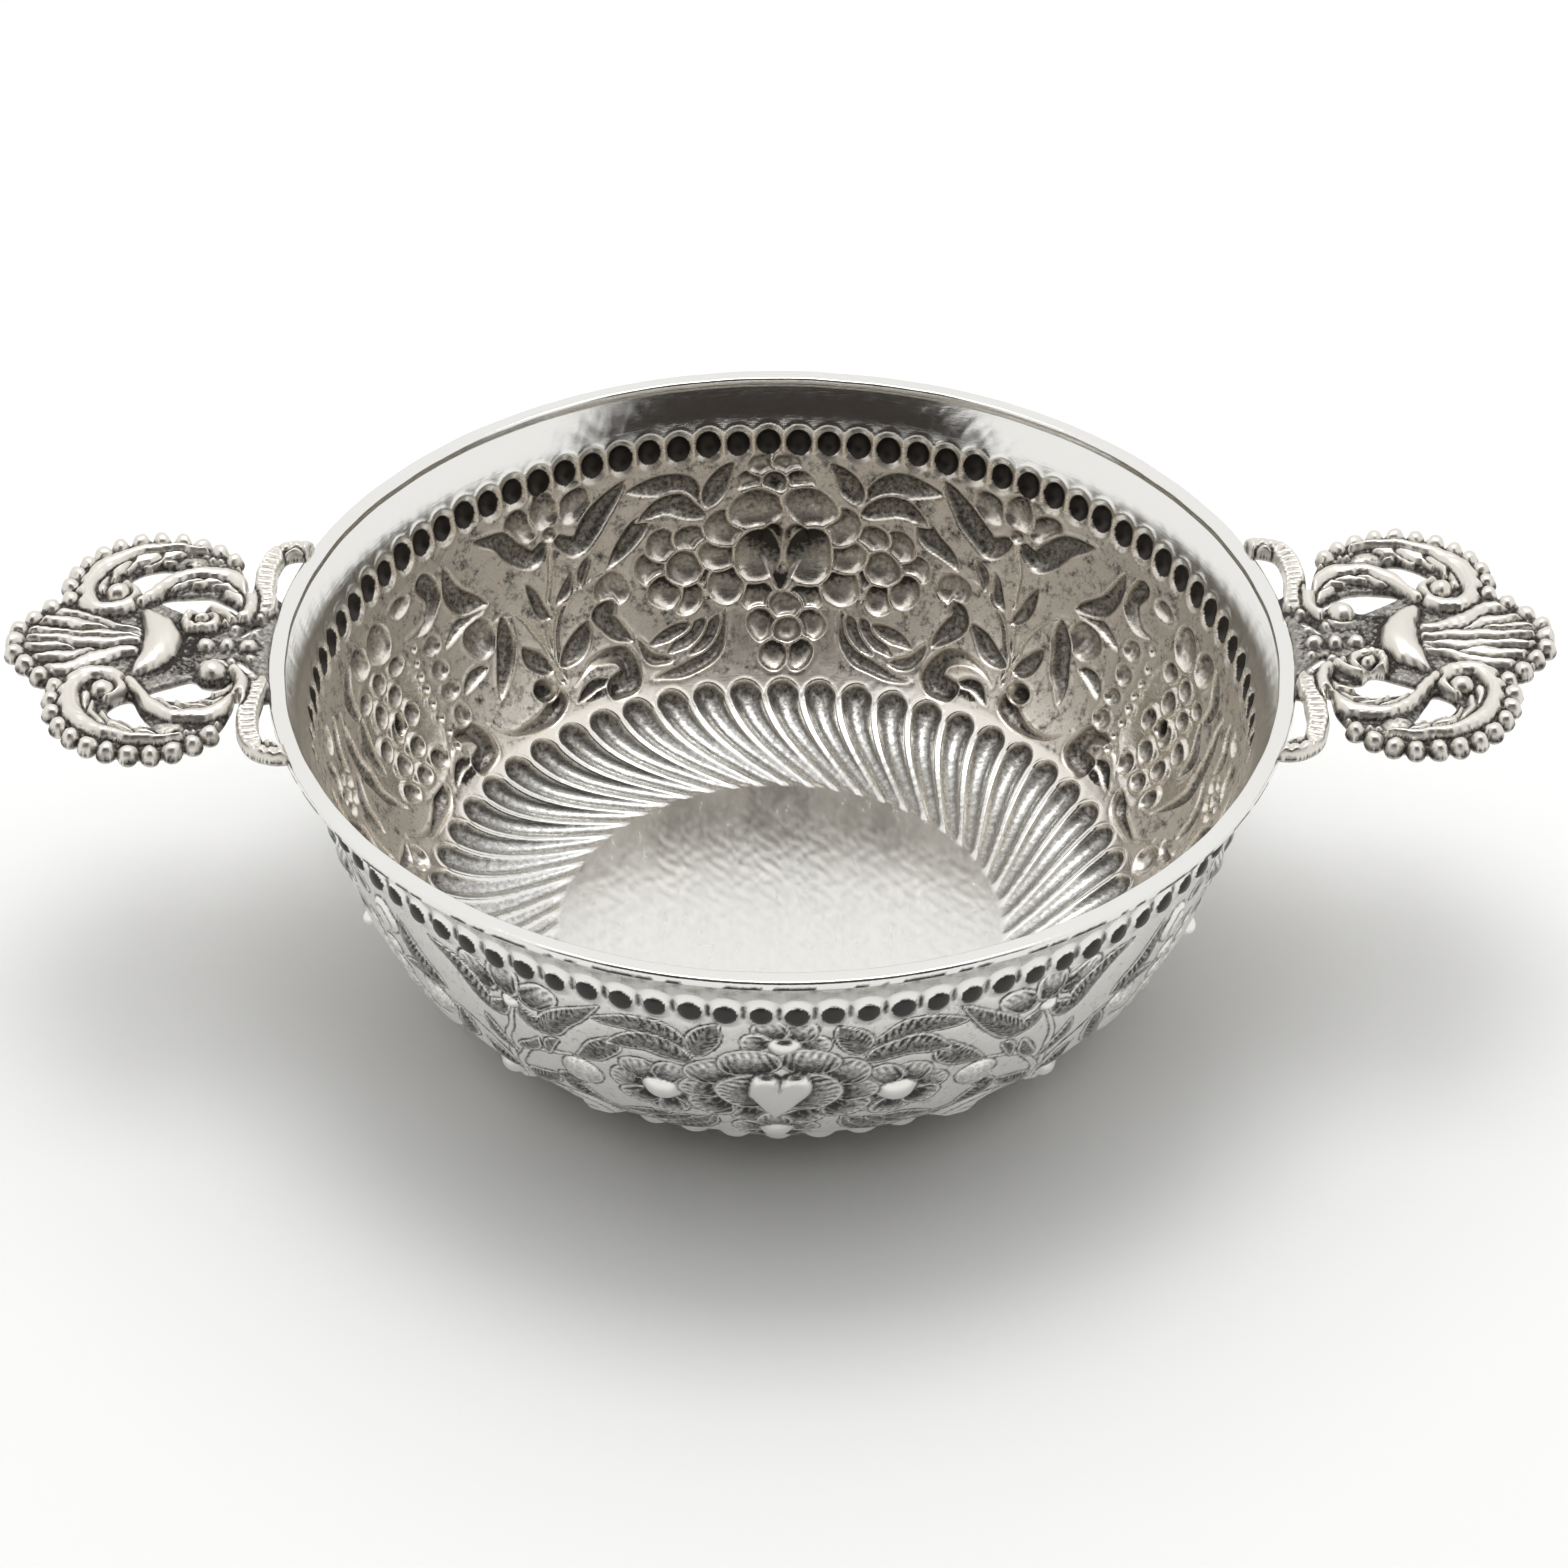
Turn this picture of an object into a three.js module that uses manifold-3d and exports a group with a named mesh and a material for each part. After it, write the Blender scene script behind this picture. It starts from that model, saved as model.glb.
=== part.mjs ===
// Silver brandy bowl: one raised and embossed sheet with a flat floor, swirling gadroons,
// a flowered wall and a beaded ring, a rim wire laid on its lip, and two cast openwork handles.
// Millimetres, +Z up, origin on the table under the middle of the bowl, +X towards one handle.
import * as THREE from 'three';
import { mergeVertices } from 'three/addons/utils/BufferGeometryUtils.js';
import Module from 'manifold-3d';

const wasm = await Module();
wasm.setup();

// Bowl sheet
const sheetThickness = 0.8;
const floorRadius = 33;
const beadRingRadius = 67;
const beadRingHeight = 41.9;
const floorRunOn = 17.5;
const floorLift = 5.7;
const wallDrop = 34;
const wallLean = 9.5;

// Flared band and its lip
const bandReach = 4;
const bandHeight = 8.1;
const bandRise = 4.5;
const bandFlare = 40;
const lipRadius = beadRingRadius + bandReach;
const lipHeight = beadRingHeight + bandHeight;
const lipWidth = 1.2;

// Rim wire on the lip
const wireOverhang = 0.8;
const rimRadius = lipRadius + lipWidth + wireOverhang;
const wireWidth = 2.5;
const wireHeight = 1.5;
const wireRound = 0.35;

// Bead ring
const beadCount = 90;
const beadWidth = 3.4;
const beadDepth = 1.3;

// Gadroons
const gadroonCount = 54;
const gadroonLength = 20.5;
const gadroonDepth = 1.65;
const gadroonSwirl = 19;
const gadroonCurl = 2.2;
const gadroonGrowth = 1.4;

// Wall ornament: ten motifs in equal sectors, and the gaps that keep it off its neighbours
const motifCount = 10;
const ornamentGap = 1.2;
const ornamentDepth = 1.9;

// Handles
const handleThickness = 1.8;
const handleTilt = 2;
const handleLift = 0.8;
const handleTurn = 1;
const handleClearance = 0.3;
const lobeRadius = 13.6;
const lobeReach = 16.5;
const lobeOffset = 12.8;
const tipReach = 37.4;
const borderBeadRadius = 1.25;
const lobeBeadCount = 11;
const ridgeRadius = 1.3;
const notchAngle = 142;
const tipAngle = -11;
const rootHalf = 11.8;
const rootDepth = 3;
const armTop = 25;
const armWidth = 3.4;
const tipNeck = 2.2;
const rootBeadCount = 3;
const rootBeadRadius = 1.1;
const rootBeadPitch = 2.9;
const borderBeadInset = 0.9;
const tipBeadRadius = 1.6;
const tipTaper = [[0.7, 0.55], [1, 0.2]];
const crescentLength = 15.2;
const crescentWidth = 5.4;
const crescentRise = 2;
const crescentBow = 3.1;
const crescentReach = 14.9;
const fanReach = 18.6;
const fanSpread = 25;
const fanRibCount = 7;
const fanTipGap = 3.5;
const fanRibWidth = 1.5;
const fanRibRootWidth = 0.8;

// How finely the faceted solids are cut
const gadroonColumns = gadroonCount * 3;
const wallColumns = 150;
const beadColumns = beadCount * 2;
const bandColumns = 90;
const wallRows = 11;
const gadroonRows = [0.3, 0.62, 0.9];
const wireSegments = 90;
const lobeSides = 30;
const armSteps = 12;
const outerScrollSteps = 12;
const innerScrollSteps = 9;
const ridgeSegments = 3;
const ribSides = 5;
const crescentSides = 10;
const crescentRows = 6;
const beadDetail = 0;
const knobDetail = 1;
const rimSides = 120;
const weldDistance = 1e-4;
const cutMargin = 1;

const silver = { color: 0xc9c8c4, metalness: 1 };
const sheetSilver = new THREE.MeshStandardMaterial({ ...silver, roughness: 0.22 });
const wireSilver = new THREE.MeshStandardMaterial({ ...silver, roughness: 0.16 });
const castSilver = new THREE.MeshStandardMaterial({ ...silver, color: 0xb9b7b1, roughness: 0.3 });

const radians = THREE.MathUtils.degToRad;

// The inside of the plain sheet from the floor's edge up to the bead ring, as (radius, height)
function wallCurve() {
  const start = new THREE.Vector2(floorRadius, sheetThickness);
  const end = new THREE.Vector2(beadRingRadius, beadRingHeight);
  const lift = radians(floorLift);
  const lean = radians(wallLean);
  const startPull = new THREE.Vector2(Math.cos(lift), Math.sin(lift)).multiplyScalar(floorRunOn);
  const endPull = new THREE.Vector2(Math.sin(lean), Math.cos(lean)).multiplyScalar(wallDrop);
  return new THREE.CubicBezierCurve(start, start.clone().add(startPull), end.clone().sub(endPull), end);
}

// The inside of the flared band from the bead ring up to the lip
function bandCurve() {
  const start = new THREE.Vector2(beadRingRadius, beadRingHeight);
  const end = new THREE.Vector2(lipRadius, lipHeight);
  const lean = radians(wallLean);
  const flare = radians(bandFlare);
  const pull = bandHeight / 3;
  const startPull = new THREE.Vector2(Math.sin(lean), Math.cos(lean)).multiplyScalar(bandRise);
  const endPull = new THREE.Vector2(Math.sin(flare), Math.cos(flare)).multiplyScalar(pull);
  return new THREE.CubicBezierCurve(start, start.clone().add(startPull), end.clone().sub(endPull), end);
}

const wall = wallCurve();
const band = bandCurve();
const wallLength = wall.getLength();
const ornamentFoot = gadroonLength + ornamentGap;
const ornamentTop = wallLength - beadWidth / 2 - ornamentGap;

// Embossed bosses of each motif: degrees across, then how far up and how wide as shares of the
// ornament's height, and how deep as a share of the ornament's depth
const ornamentHeight = ornamentTop - ornamentFoot;
const flowerCluster = [
  [-4, 0.54, 0.16, 0.65], [4, 0.54, 0.16, 0.65], [0, 0.56, 0.12, 0.9],
  [-3.6, 0.77, 0.13, 0.65], [3.6, 0.77, 0.13, 0.65],
  [-8.6, 0.41, 0.13, 0.55], [8.6, 0.41, 0.13, 0.55], [-8.4, 0.68, 0.13, 0.6], [8.4, 0.68, 0.13, 0.6],
  [-14.6, 0.51, 0.22, 0.6], [14.6, 0.51, 0.22, 0.6], [-3.2, 0.32, 0.12, 0.5], [3.2, 0.32, 0.12, 0.5],
  [0.9, 0.9, 0.15, 0.6], [-0.5, 0.14, 0.18, 0.55], [-14, 0.14, 0.17, 0.4], [14, 0.14, 0.17, 0.4],
  [-16, 0.86, 0.13, 0.5], [16, 0.86, 0.13, 0.5],
];
const threeStemSpray = [
  [2.5, 0.9, 0.16, 0.6], [10, 0.84, 0.12, 0.55], [-5, 0.86, 0.12, 0.55],
  [10.6, 0.49, 0.11, 0.65], [14, 0.7, 0.11, 0.5], [9, 0.33, 0.11, 0.5],
  [-12.4, 0.51, 0.12, 0.65], [-9, 0.37, 0.11, 0.55], [-14, 0.74, 0.12, 0.5],
  [3.4, 0.27, 0.1, 0.5], [-4, 0.28, 0.1, 0.5], [8, 0.12, 0.13, 0.8], [-5.5, 0.1, 0.12, 0.75],
];
const seededFruit = [
  [1.5, 0.44, 0.33, 0.5], [4.6, 0.83, 0.12, 0.8], [-0.8, 0.84, 0.11, 0.7],
  [-10.4, 0.6, 0.12, 0.45], [-14.8, 0.74, 0.1, 0.45], [-15, 0.4, 0.1, 0.45],
  [15.2, 0.3, 0.09, 0.4], [15.2, 0.55, 0.09, 0.4], [16, 0.8, 0.11, 0.7],
  [14, 0.12, 0.13, 0.8], [0.5, 0.1, 0.12, 0.75], [-13.2, 0.07, 0.09, 0.65],
];
const turned = (motif) => motif.map(([degrees, ...rest]) => [-degrees, ...rest]);
const motifRound = [
  flowerCluster, turned(threeStemSpray), turned(seededFruit), seededFruit, threeStemSpray,
];

// A boss with a broad top, as a hammer raises it
function boss(distance, radius, depth) {
  const share = distance / radius;
  return share < 1 ? depth * (1 - share ** 4) : 0;
}

// How far the wall's motifs push the sheet outwards at an azimuth and a distance up the wall
function ornamentRelief(azimuth, along, radius) {
  const sector = (2 * Math.PI) / motifCount;
  const fromFirst = azimuth - Math.PI / 2;
  let depth = 0;
  for (let index = 0; index < motifCount; index += 1) {
    const motif = motifRound[index % motifRound.length];
    for (const [degrees, upShare, widthShare, depthShare] of motif) {
      const across = fromFirst - index * sector - radians(degrees);
      const wrapped = Math.atan2(Math.sin(across), Math.cos(across)) * radius;
      const up = along - ornamentFoot - upShare * ornamentHeight;
      const reach = widthShare * ornamentHeight;
      depth = Math.max(depth, boss(Math.hypot(wrapped, up), reach, depthShare * ornamentDepth));
    }
  }
  return depth;
}

// One ring of points on the sheet: side 0 is the inside, side 1 the outside
function ring(curve, along, columns, side, relief, turn = 0) {
  const share = along / curve.getLength();
  const point = curve.getPointAt(share);
  const tangent = curve.getTangentAt(share);
  const outward = new THREE.Vector2(tangent.y, -tangent.x);
  const points = [];
  for (let column = 0; column < columns; column += 1) {
    const azimuth = (2 * Math.PI * column) / columns;
    const push = relief(azimuth, column) + side * sheetThickness;
    const radius = point.x + outward.x * push;
    const height = point.y + outward.y * push;
    points.push([azimuth + turn, radius, height]);
  }
  return points;
}

const plain = () => 0;

// A level ring of points, for the flat floor and the flat lip
function levelRing(radius, height, columns, turn = 0) {
  return Array.from({ length: columns }, (_, column) => [
    (2 * Math.PI * column) / columns + turn, radius, height,
  ]);
}

function gadroonTurn(share) {
  return -radians(gadroonSwirl) * (1 - share) ** gadroonCurl;
}

// Gadroon rings: every third column is a ridge and the two between are the hollow, which
// deepens from nothing at the floor to its round head
function gadroonRings(side) {
  const floor = levelRing(floorRadius, (1 - side) * sheetThickness, gadroonColumns, gadroonTurn(0));
  const hollows = gadroonRows.map((share) => {
    const depth = gadroonDepth * share ** gadroonGrowth;
    const relief = (azimuth, column) => (column % 3 === 0 ? 0 : depth);
    return ring(wall, share * gadroonLength, gadroonColumns, side, relief, gadroonTurn(share));
  });
  return [floor, ...hollows];
}

function ornamentRings(side) {
  const rings = [];
  for (let row = 0; row <= wallRows; row += 1) {
    const along = THREE.MathUtils.lerp(ornamentFoot, ornamentTop, row / wallRows);
    const radius = wall.getPointAt(along / wallLength).x;
    const edge = row === 0 || row === wallRows;
    const relief = edge ? plain : (azimuth) => ornamentRelief(azimuth, along, radius);
    rings.push(ring(wall, along, wallColumns, side, relief));
  }
  return rings;
}

function beadRings(side) {
  const relief = (azimuth, column) => (column % 2 === 0 ? beadDepth : 0);
  return [
    ring(wall, wallLength - beadWidth / 2, beadColumns, side, plain),
    ring(wall, wallLength, beadColumns, side, relief),
    ring(band, beadWidth / 2, beadColumns, side, plain),
  ];
}

function bandRings(side) {
  const middle = (beadWidth / 2 + band.getLength()) / 2;
  const lip = levelRing(lipRadius + side * lipWidth, lipHeight, bandColumns);
  return [ring(band, middle, bandColumns, side, plain), lip];
}

// Joins rings of points, whatever their counts, into one closed skin with a point at each end
function skinThrough(rings, firstTip, lastTip) {
  const positions = [];
  const indices = [];
  const ringStarts = rings.map((points) => {
    const start = positions.length / 3;
    for (const [azimuth, radius, height] of points) {
      positions.push(radius * Math.cos(azimuth), radius * Math.sin(azimuth), height);
    }
    return start;
  });
  for (const tip of [firstTip, lastTip]) {
    positions.push(0, 0, tip);
  }
  const first = positions.length / 3 - 2;
  const last = first + 1;
  for (let index = 0; index + 1 < rings.length; index += 1) {
    stitch(rings[index], ringStarts[index], rings[index + 1], ringStarts[index + 1], indices);
  }
  const inner = rings[0].length;
  for (let column = 0; column < inner; column += 1) {
    indices.push(first, ringStarts[0] + column, ringStarts[0] + ((column + 1) % inner));
  }
  const outer = rings[rings.length - 1].length;
  const outerStart = ringStarts[rings.length - 1];
  for (let column = 0; column < outer; column += 1) {
    indices.push(last, outerStart + ((column + 1) % outer), outerStart + column);
  }
  const geometry = new THREE.BufferGeometry();
  geometry.setAttribute('position', new THREE.Float32BufferAttribute(positions, 3));
  geometry.setIndex(indices);
  return geometry;
}

// Triangles between two rings, always taking the next point that lies first round the bowl;
// where both rings have a point there, they mirror each other about every second column, but
// the gadroons, which lean, keep one direction
function stitch(lower, lowerStart, upper, upperStart, indices) {
  const mirrored = lower.length !== gadroonColumns;
  let low = 0;
  let high = 0;
  while (low < lower.length || high < upper.length) {
    const lowNext = low < lower.length ? (low + 1) / lower.length : Infinity;
    const highNext = high < upper.length ? (high + 1) / upper.length : Infinity;
    const lowAt = lowerStart + (low % lower.length);
    const highAt = upperStart + (high % upper.length);
    const lowFirst = lowNext === highNext ? !mirrored || low % 2 === 0 : lowNext < highNext;
    if (lowFirst) {
      indices.push(lowAt, highAt, lowerStart + ((low + 1) % lower.length));
      low += 1;
    } else {
      indices.push(lowAt, highAt, upperStart + ((high + 1) % upper.length));
      high += 1;
    }
  }
}

function bowlBody() {
  const sides = [0, 1].map((side) => [
    ...gadroonRings(side), ...ornamentRings(side), ...beadRings(side), ...bandRings(side),
  ]);
  const rings = [...sides[0], ...sides[1].reverse()];
  return skinThrough(rings, sheetThickness, 0);
}

function rimWire() {
  const inner = rimRadius - wireWidth;
  const top = lipHeight + wireHeight;
  const profile = [
    [inner + wireRound, lipHeight], [rimRadius - wireRound, lipHeight],
    [rimRadius, lipHeight + wireRound], [rimRadius, top - wireRound],
    [rimRadius - wireRound, top], [inner + wireRound, top],
    [inner, top - wireRound], [inner, lipHeight + wireRound],
    [inner + wireRound, lipHeight],
  ];
  const points = profile.map(([radius, height]) => new THREE.Vector2(radius, height));
  const geometry = new THREE.LatheGeometry(points, wireSegments);
  return geometry.rotateX(Math.PI / 2);
}

// A closed solid for joining and cutting, from a geometry whose shared corners are merged
function solid(geometry) {
  const bare = geometry.clone();
  bare.deleteAttribute('normal');
  bare.deleteAttribute('uv');
  const merged = mergeVertices(bare, weldDistance);
  return new wasm.Manifold(new wasm.Mesh({
    numProp: 3,
    vertProperties: merged.attributes.position.array,
    triVerts: new Uint32Array(merged.index.array),
  }));
}

function geometryOf(body) {
  const mesh = body.getMesh();
  const geometry = new THREE.BufferGeometry();
  geometry.setAttribute('position', new THREE.BufferAttribute(mesh.vertProperties, 3));
  geometry.setIndex(new THREE.BufferAttribute(mesh.triVerts, 1));
  return geometry;
}

// A point on a handle's lobe, as shares of the lobe's radius from its middle; half is 1 or -1
function lobePoint([across, up], half) {
  return new THREE.Vector2(
    lobeReach + across * lobeRadius,
    half * (lobeOffset + up * lobeRadius),
  );
}

// The opening beside the crescent and the one under the outer scroll
const innerOpening = [
  [-0.89, -0.4], [-0.77, -0.28], [-0.58, -0.29], [-0.46, -0.4], [-0.26, -0.31], [-0.04, -0.16],
  [-0.1, -0.07], [-0.33, -0.02], [-0.54, -0.02], [-0.67, -0.1], [-0.83, -0.24],
];
const outerOpening = [
  [0.13, -0.01], [0.27, 0.06], [0.33, 0.21], [0.23, 0.35], [0.02, 0.46], [-0.14, 0.43],
  [-0.05, 0.29], [0.04, 0.13],
];
const rootSlot = [[-1.12, -0.54], [-1.05, -0.51], [-0.9, -0.68], [-0.96, -0.74]];

// Scrolls laid on the plate, from their volute to their tail
const outerScroll = [
  [0.24, -0.09], [0.27, -0.26], [0.45, -0.38], [0.65, -0.34], [0.77, -0.1], [0.72, 0.19],
  [0.55, 0.47], [0.26, 0.66], [-0.11, 0.74], [-0.45, 0.69],
];
const innerScroll = [
  [-0.9, -0.47], [-0.99, -0.28], [-0.96, -0.03], [-0.82, 0.19], [-0.57, 0.31], [-0.29, 0.28],
  [-0.08, 0.1], [0.05, -0.1], [0.17, -0.25],
];

// Round knobs on the two halves, with their radius as the third share: the scroll's volute and,
// unlike on the two halves, the knob by the root
const volute = [0.42, -0.09, 0.132];
const knobsOf = (half) => [volute, half > 0 ? [-0.67, -0.45, 0.147] : [-0.49, -0.53, 0.147]];

// Beads from the lobe to the tip: back from the tip and across, as shares of the lobe's radius
const tipBeads = [[0.43, 0.59], [0.27, 0.39], [0.14, 0.2]];

// The curl arm's middle line: out from the rim and across, as shares of the arm's reach across
const armRoute = [
  [0.044, 0.36], [0.056, 0.55], [0.056, 0.75], [0.008, 0.91], [-0.11, 0.97], [-0.22, 0.95],
];

// A flat plate of the handle's thickness from an outline in the handle's own plane
function plateOf(points, below = handleThickness, above = 0) {
  const geometry = new THREE.ExtrudeGeometry(new THREE.Shape(points), {
    depth: below + above, bevelEnabled: false,
  });
  return geometry.translate(0, 0, -below);
}

// A strap of even width along a curve, for the curl arm that reaches back to the rim
function strap(points, width) {
  const route = new THREE.SplineCurve(points);
  const sides = [[], []];
  for (let step = 0; step <= armSteps; step += 1) {
    const point = route.getPoint(step / armSteps);
    const tangent = route.getTangent(step / armSteps);
    const across = new THREE.Vector2(-tangent.y, tangent.x).multiplyScalar(width / 2);
    sides[0].push(point.clone().add(across));
    sides[1].unshift(point.clone().sub(across));
  }
  return plateOf([...sides[0], ...sides[1]]);
}

// The root at the rim, the web between the lobes and the pointed tip
function webOutline() {
  const shoulder = lobePoint([Math.cos(radians(tipAngle)), Math.sin(radians(tipAngle))], 1);
  const half = [
    [-rootDepth, rootHalf], [lobeReach - lobeRadius, rootHalf], [lobeReach, lobeOffset],
    [shoulder.x - tipNeck, shoulder.y], [shoulder.x + tipNeck, shoulder.y],
    ...tipTaper.map(([out, share]) => [
      THREE.MathUtils.lerp(shoulder.x, tipReach - borderBeadInset, out), shoulder.y * share,
    ]),
  ];
  const upper = half.map(([along, across]) => new THREE.Vector2(along, across));
  const lower = half.map(([along, across]) => new THREE.Vector2(along, -across));
  return [...upper, ...lower.reverse()];
}

// The handle seen from above: web, lobes and curl arms, pierced by its openings
function handlePlate() {
  let plate = solid(plateOf(webOutline()));
  for (const half of [1, -1]) {
    const lobe = new THREE.CylinderGeometry(lobeRadius, lobeRadius, handleThickness, lobeSides);
    lobe.rotateX(Math.PI / 2).translate(lobeReach, half * lobeOffset, -handleThickness / 2);
    const arm = armRoute.map(([out, across]) => (
      new THREE.Vector2(out * armTop, half * across * armTop)
    ));
    plate = plate.add(solid(lobe)).add(solid(strap(arm, armWidth)));
  }
  for (const half of [1, -1]) {
    for (const opening of [innerOpening, outerOpening, rootSlot]) {
      const points = opening.map((point) => lobePoint(point, half));
      plate = plate.subtract(solid(plateOf(points, handleThickness + cutMargin, cutMargin)));
    }
  }
  return plate;
}

// A round ridge along points on the plate's top
function ridge(points, steps, radius) {
  const route = new THREE.CatmullRomCurve3(points.map((point) => new THREE.Vector3(point.x, point.y, 0)));
  const section = new THREE.Shape();
  section.absarc(0, 0, radius, 0, 2 * Math.PI, false);
  return new THREE.ExtrudeGeometry(section, {
    steps, extrudePath: route, bevelEnabled: false, curveSegments: ridgeSegments,
  });
}

function dome(center, radius, detail = beadDetail) {
  return new THREE.IcosahedronGeometry(radius, detail).translate(center.x, center.y, 0);
}

// Beads along the lobes and the tip, with a larger one at the point
function borderBeads() {
  const beads = [];
  const inset = 1 - borderBeadInset / lobeRadius;
  for (const half of [1, -1]) {
    for (let index = 0; index <= lobeBeadCount; index += 1) {
      const angle = radians(THREE.MathUtils.lerp(notchAngle, tipAngle, index / lobeBeadCount));
      const center = lobePoint([Math.cos(angle) * inset, Math.sin(angle) * inset], half);
      beads.push(dome(center, borderBeadRadius));
    }
    for (const [back, across] of tipBeads) {
      const center = new THREE.Vector2(tipReach - back * lobeRadius, half * across * lobeRadius);
      beads.push(dome(center, borderBeadRadius));
    }
  }
  beads.push(dome(new THREE.Vector2(tipReach - tipBeadRadius, 0), tipBeadRadius));
  return beads;
}

// Small beads along the axis between the rim and the crescent
function rootBeads() {
  return Array.from({ length: rootBeadCount }, (_, index) => (
    dome(new THREE.Vector2((index + 1) * rootBeadPitch, 0), rootBeadRadius)
  ));
}

// The smooth crescent in the middle, bowed towards the rim
function crescent() {
  const geometry = new THREE.SphereGeometry(1, crescentSides, crescentRows);
  geometry.scale(crescentWidth / 2, crescentLength / 2, crescentRise);
  const position = geometry.attributes.position;
  const bow = crescentBow / (crescentLength / 2) ** 2;
  for (let index = 0; index < position.count; index += 1) {
    position.setX(index, position.getX(index) + bow * position.getY(index) ** 2);
  }
  return geometry.translate(crescentReach, 0, 0);
}

// Ribs that spread from behind the crescent to the tip
function fanRibs() {
  const length = tipReach - fanReach - fanTipGap;
  return Array.from({ length: fanRibCount }, (_, index) => {
    const angle = radians(THREE.MathUtils.lerp(-fanSpread, fanSpread, index / (fanRibCount - 1)));
    const rib = new THREE.CylinderGeometry(fanRibWidth / 2, fanRibRootWidth / 2, length, ribSides);
    rib.translate(0, length / 2, 0);
    rib.rotateZ(angle - Math.PI / 2);
    return rib.translate(fanReach, 0, 0);
  });
}

// Where a handle sits: its top over the rim wire's, tilted up towards its tip
function handlePlace() {
  const place = new THREE.Object3D();
  place.position.set(rimRadius, 0, lipHeight + wireHeight + handleLift);
  place.rotation.y = -radians(handleTilt);
  place.updateMatrix();
  return place;
}

function handle() {
  const parts = [...borderBeads(), ...rootBeads(), crescent(), ...fanRibs()];
  for (const half of [1, -1]) {
    parts.push(ridge(outerScroll.map((point) => lobePoint(point, half)), outerScrollSteps, ridgeRadius));
    parts.push(ridge(innerScroll.map((point) => lobePoint(point, half)), innerScrollSteps, ridgeRadius));
    for (const [across, up, radius] of knobsOf(half)) {
      parts.push(dome(lobePoint([across, up], half), radius * lobeRadius, knobDetail));
    }
  }
  let body = handlePlate();
  for (const part of parts) {
    body = body.add(solid(part));
  }
  const reach = rimRadius + handleClearance;
  const rim = new THREE.CylinderGeometry(reach, reach, 2 * lipHeight, rimSides);
  rim.rotateX(Math.PI / 2).translate(0, 0, lipHeight);
  rim.applyMatrix4(handlePlace().matrix.clone().invert());
  body = body.subtract(solid(rim));
  return geometryOf(body);
}

function piece(name, geometry, material) {
  const mesh = new THREE.Mesh(geometry, material);
  mesh.name = name;
  return mesh;
}

function brandyBowl() {
  const bowl = new THREE.Group();
  bowl.add(piece('bowl_body', bowlBody(), sheetSilver));
  bowl.add(piece('rim_wire', rimWire(), wireSilver));
  for (const [name, halfTurns] of [['handle_right', 0], ['handle_left', 1]]) {
    const side = new THREE.Group();
    side.rotation.z = radians(handleTurn) + halfTurns * Math.PI;
    const casting = piece(name, handle(), castSilver);
    const place = handlePlace();
    casting.position.copy(place.position);
    casting.rotation.copy(place.rotation);
    side.add(casting);
    bowl.add(side);
  }
  return bowl;
}

export default brandyBowl();
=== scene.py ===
import math
from types import SimpleNamespace

import bpy
import numpy as np
from mathutils import Matrix, Vector


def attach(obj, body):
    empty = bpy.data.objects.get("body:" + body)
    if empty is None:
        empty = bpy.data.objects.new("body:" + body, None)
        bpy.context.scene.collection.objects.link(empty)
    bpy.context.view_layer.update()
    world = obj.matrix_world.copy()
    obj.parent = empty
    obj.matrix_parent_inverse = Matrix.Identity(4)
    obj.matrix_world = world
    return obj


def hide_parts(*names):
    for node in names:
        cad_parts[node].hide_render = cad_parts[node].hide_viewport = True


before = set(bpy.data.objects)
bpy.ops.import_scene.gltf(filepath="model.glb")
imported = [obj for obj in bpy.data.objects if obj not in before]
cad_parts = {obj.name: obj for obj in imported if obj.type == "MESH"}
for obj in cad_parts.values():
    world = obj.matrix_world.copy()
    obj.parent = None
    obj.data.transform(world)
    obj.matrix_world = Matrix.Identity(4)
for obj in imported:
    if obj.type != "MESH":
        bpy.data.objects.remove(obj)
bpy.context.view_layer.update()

bl_info = {
    "name": "Silver brandy bowl",
    "version": (1, 0, 0),
    "blender": (4, 5, 0),
    "location": "View3D > Sidebar > Brandy bowl",
    "description": "An embossed silver bowl with a beaded ring, a rim wire and two cast openwork handles",
    "category": "Add Mesh",
}

MM = 0.001
FULL_TURN = 2 * math.pi

# Every length in the relief code below is in millimetres. The sheet is drawn unrolled: across it in
# degrees round the bowl, and up it along the wall's own curve, from the floor's edge to the lip. A
# degree is drawn as wide as it is 60 mm from the bowl's middle, where most of the flowers are.
DRAWN_MM_PER_DEGREE = 1.0475


def linear(hex_colour):
    """An sRGB hex colour as linear red, green, blue and alpha."""
    parts = [(hex_colour >> shift & 255) / 255 for shift in (16, 8, 0)]
    return [part / 12.92 if part <= 0.04045 else ((part + 0.055) / 1.055) ** 2.4 for part in parts] + [1.0]


def length(name, millimetres, description):
    return bpy.props.FloatProperty(
        name=name, description=description, default=millimetres * MM, min=0, precision=5, unit="LENGTH"
    )


def turn(name, degrees, description):
    return bpy.props.FloatProperty(
        name=name, description=description, default=math.radians(degrees), unit="ROTATION"
    )


def count(name, number, description):
    return bpy.props.IntProperty(name=name, description=description, default=number, min=3)


def colour(name, hex_colour, description):
    return bpy.props.FloatVectorProperty(
        name=name, description=description, default=linear(hex_colour), size=4, min=0, max=1, subtype="COLOR"
    )


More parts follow.
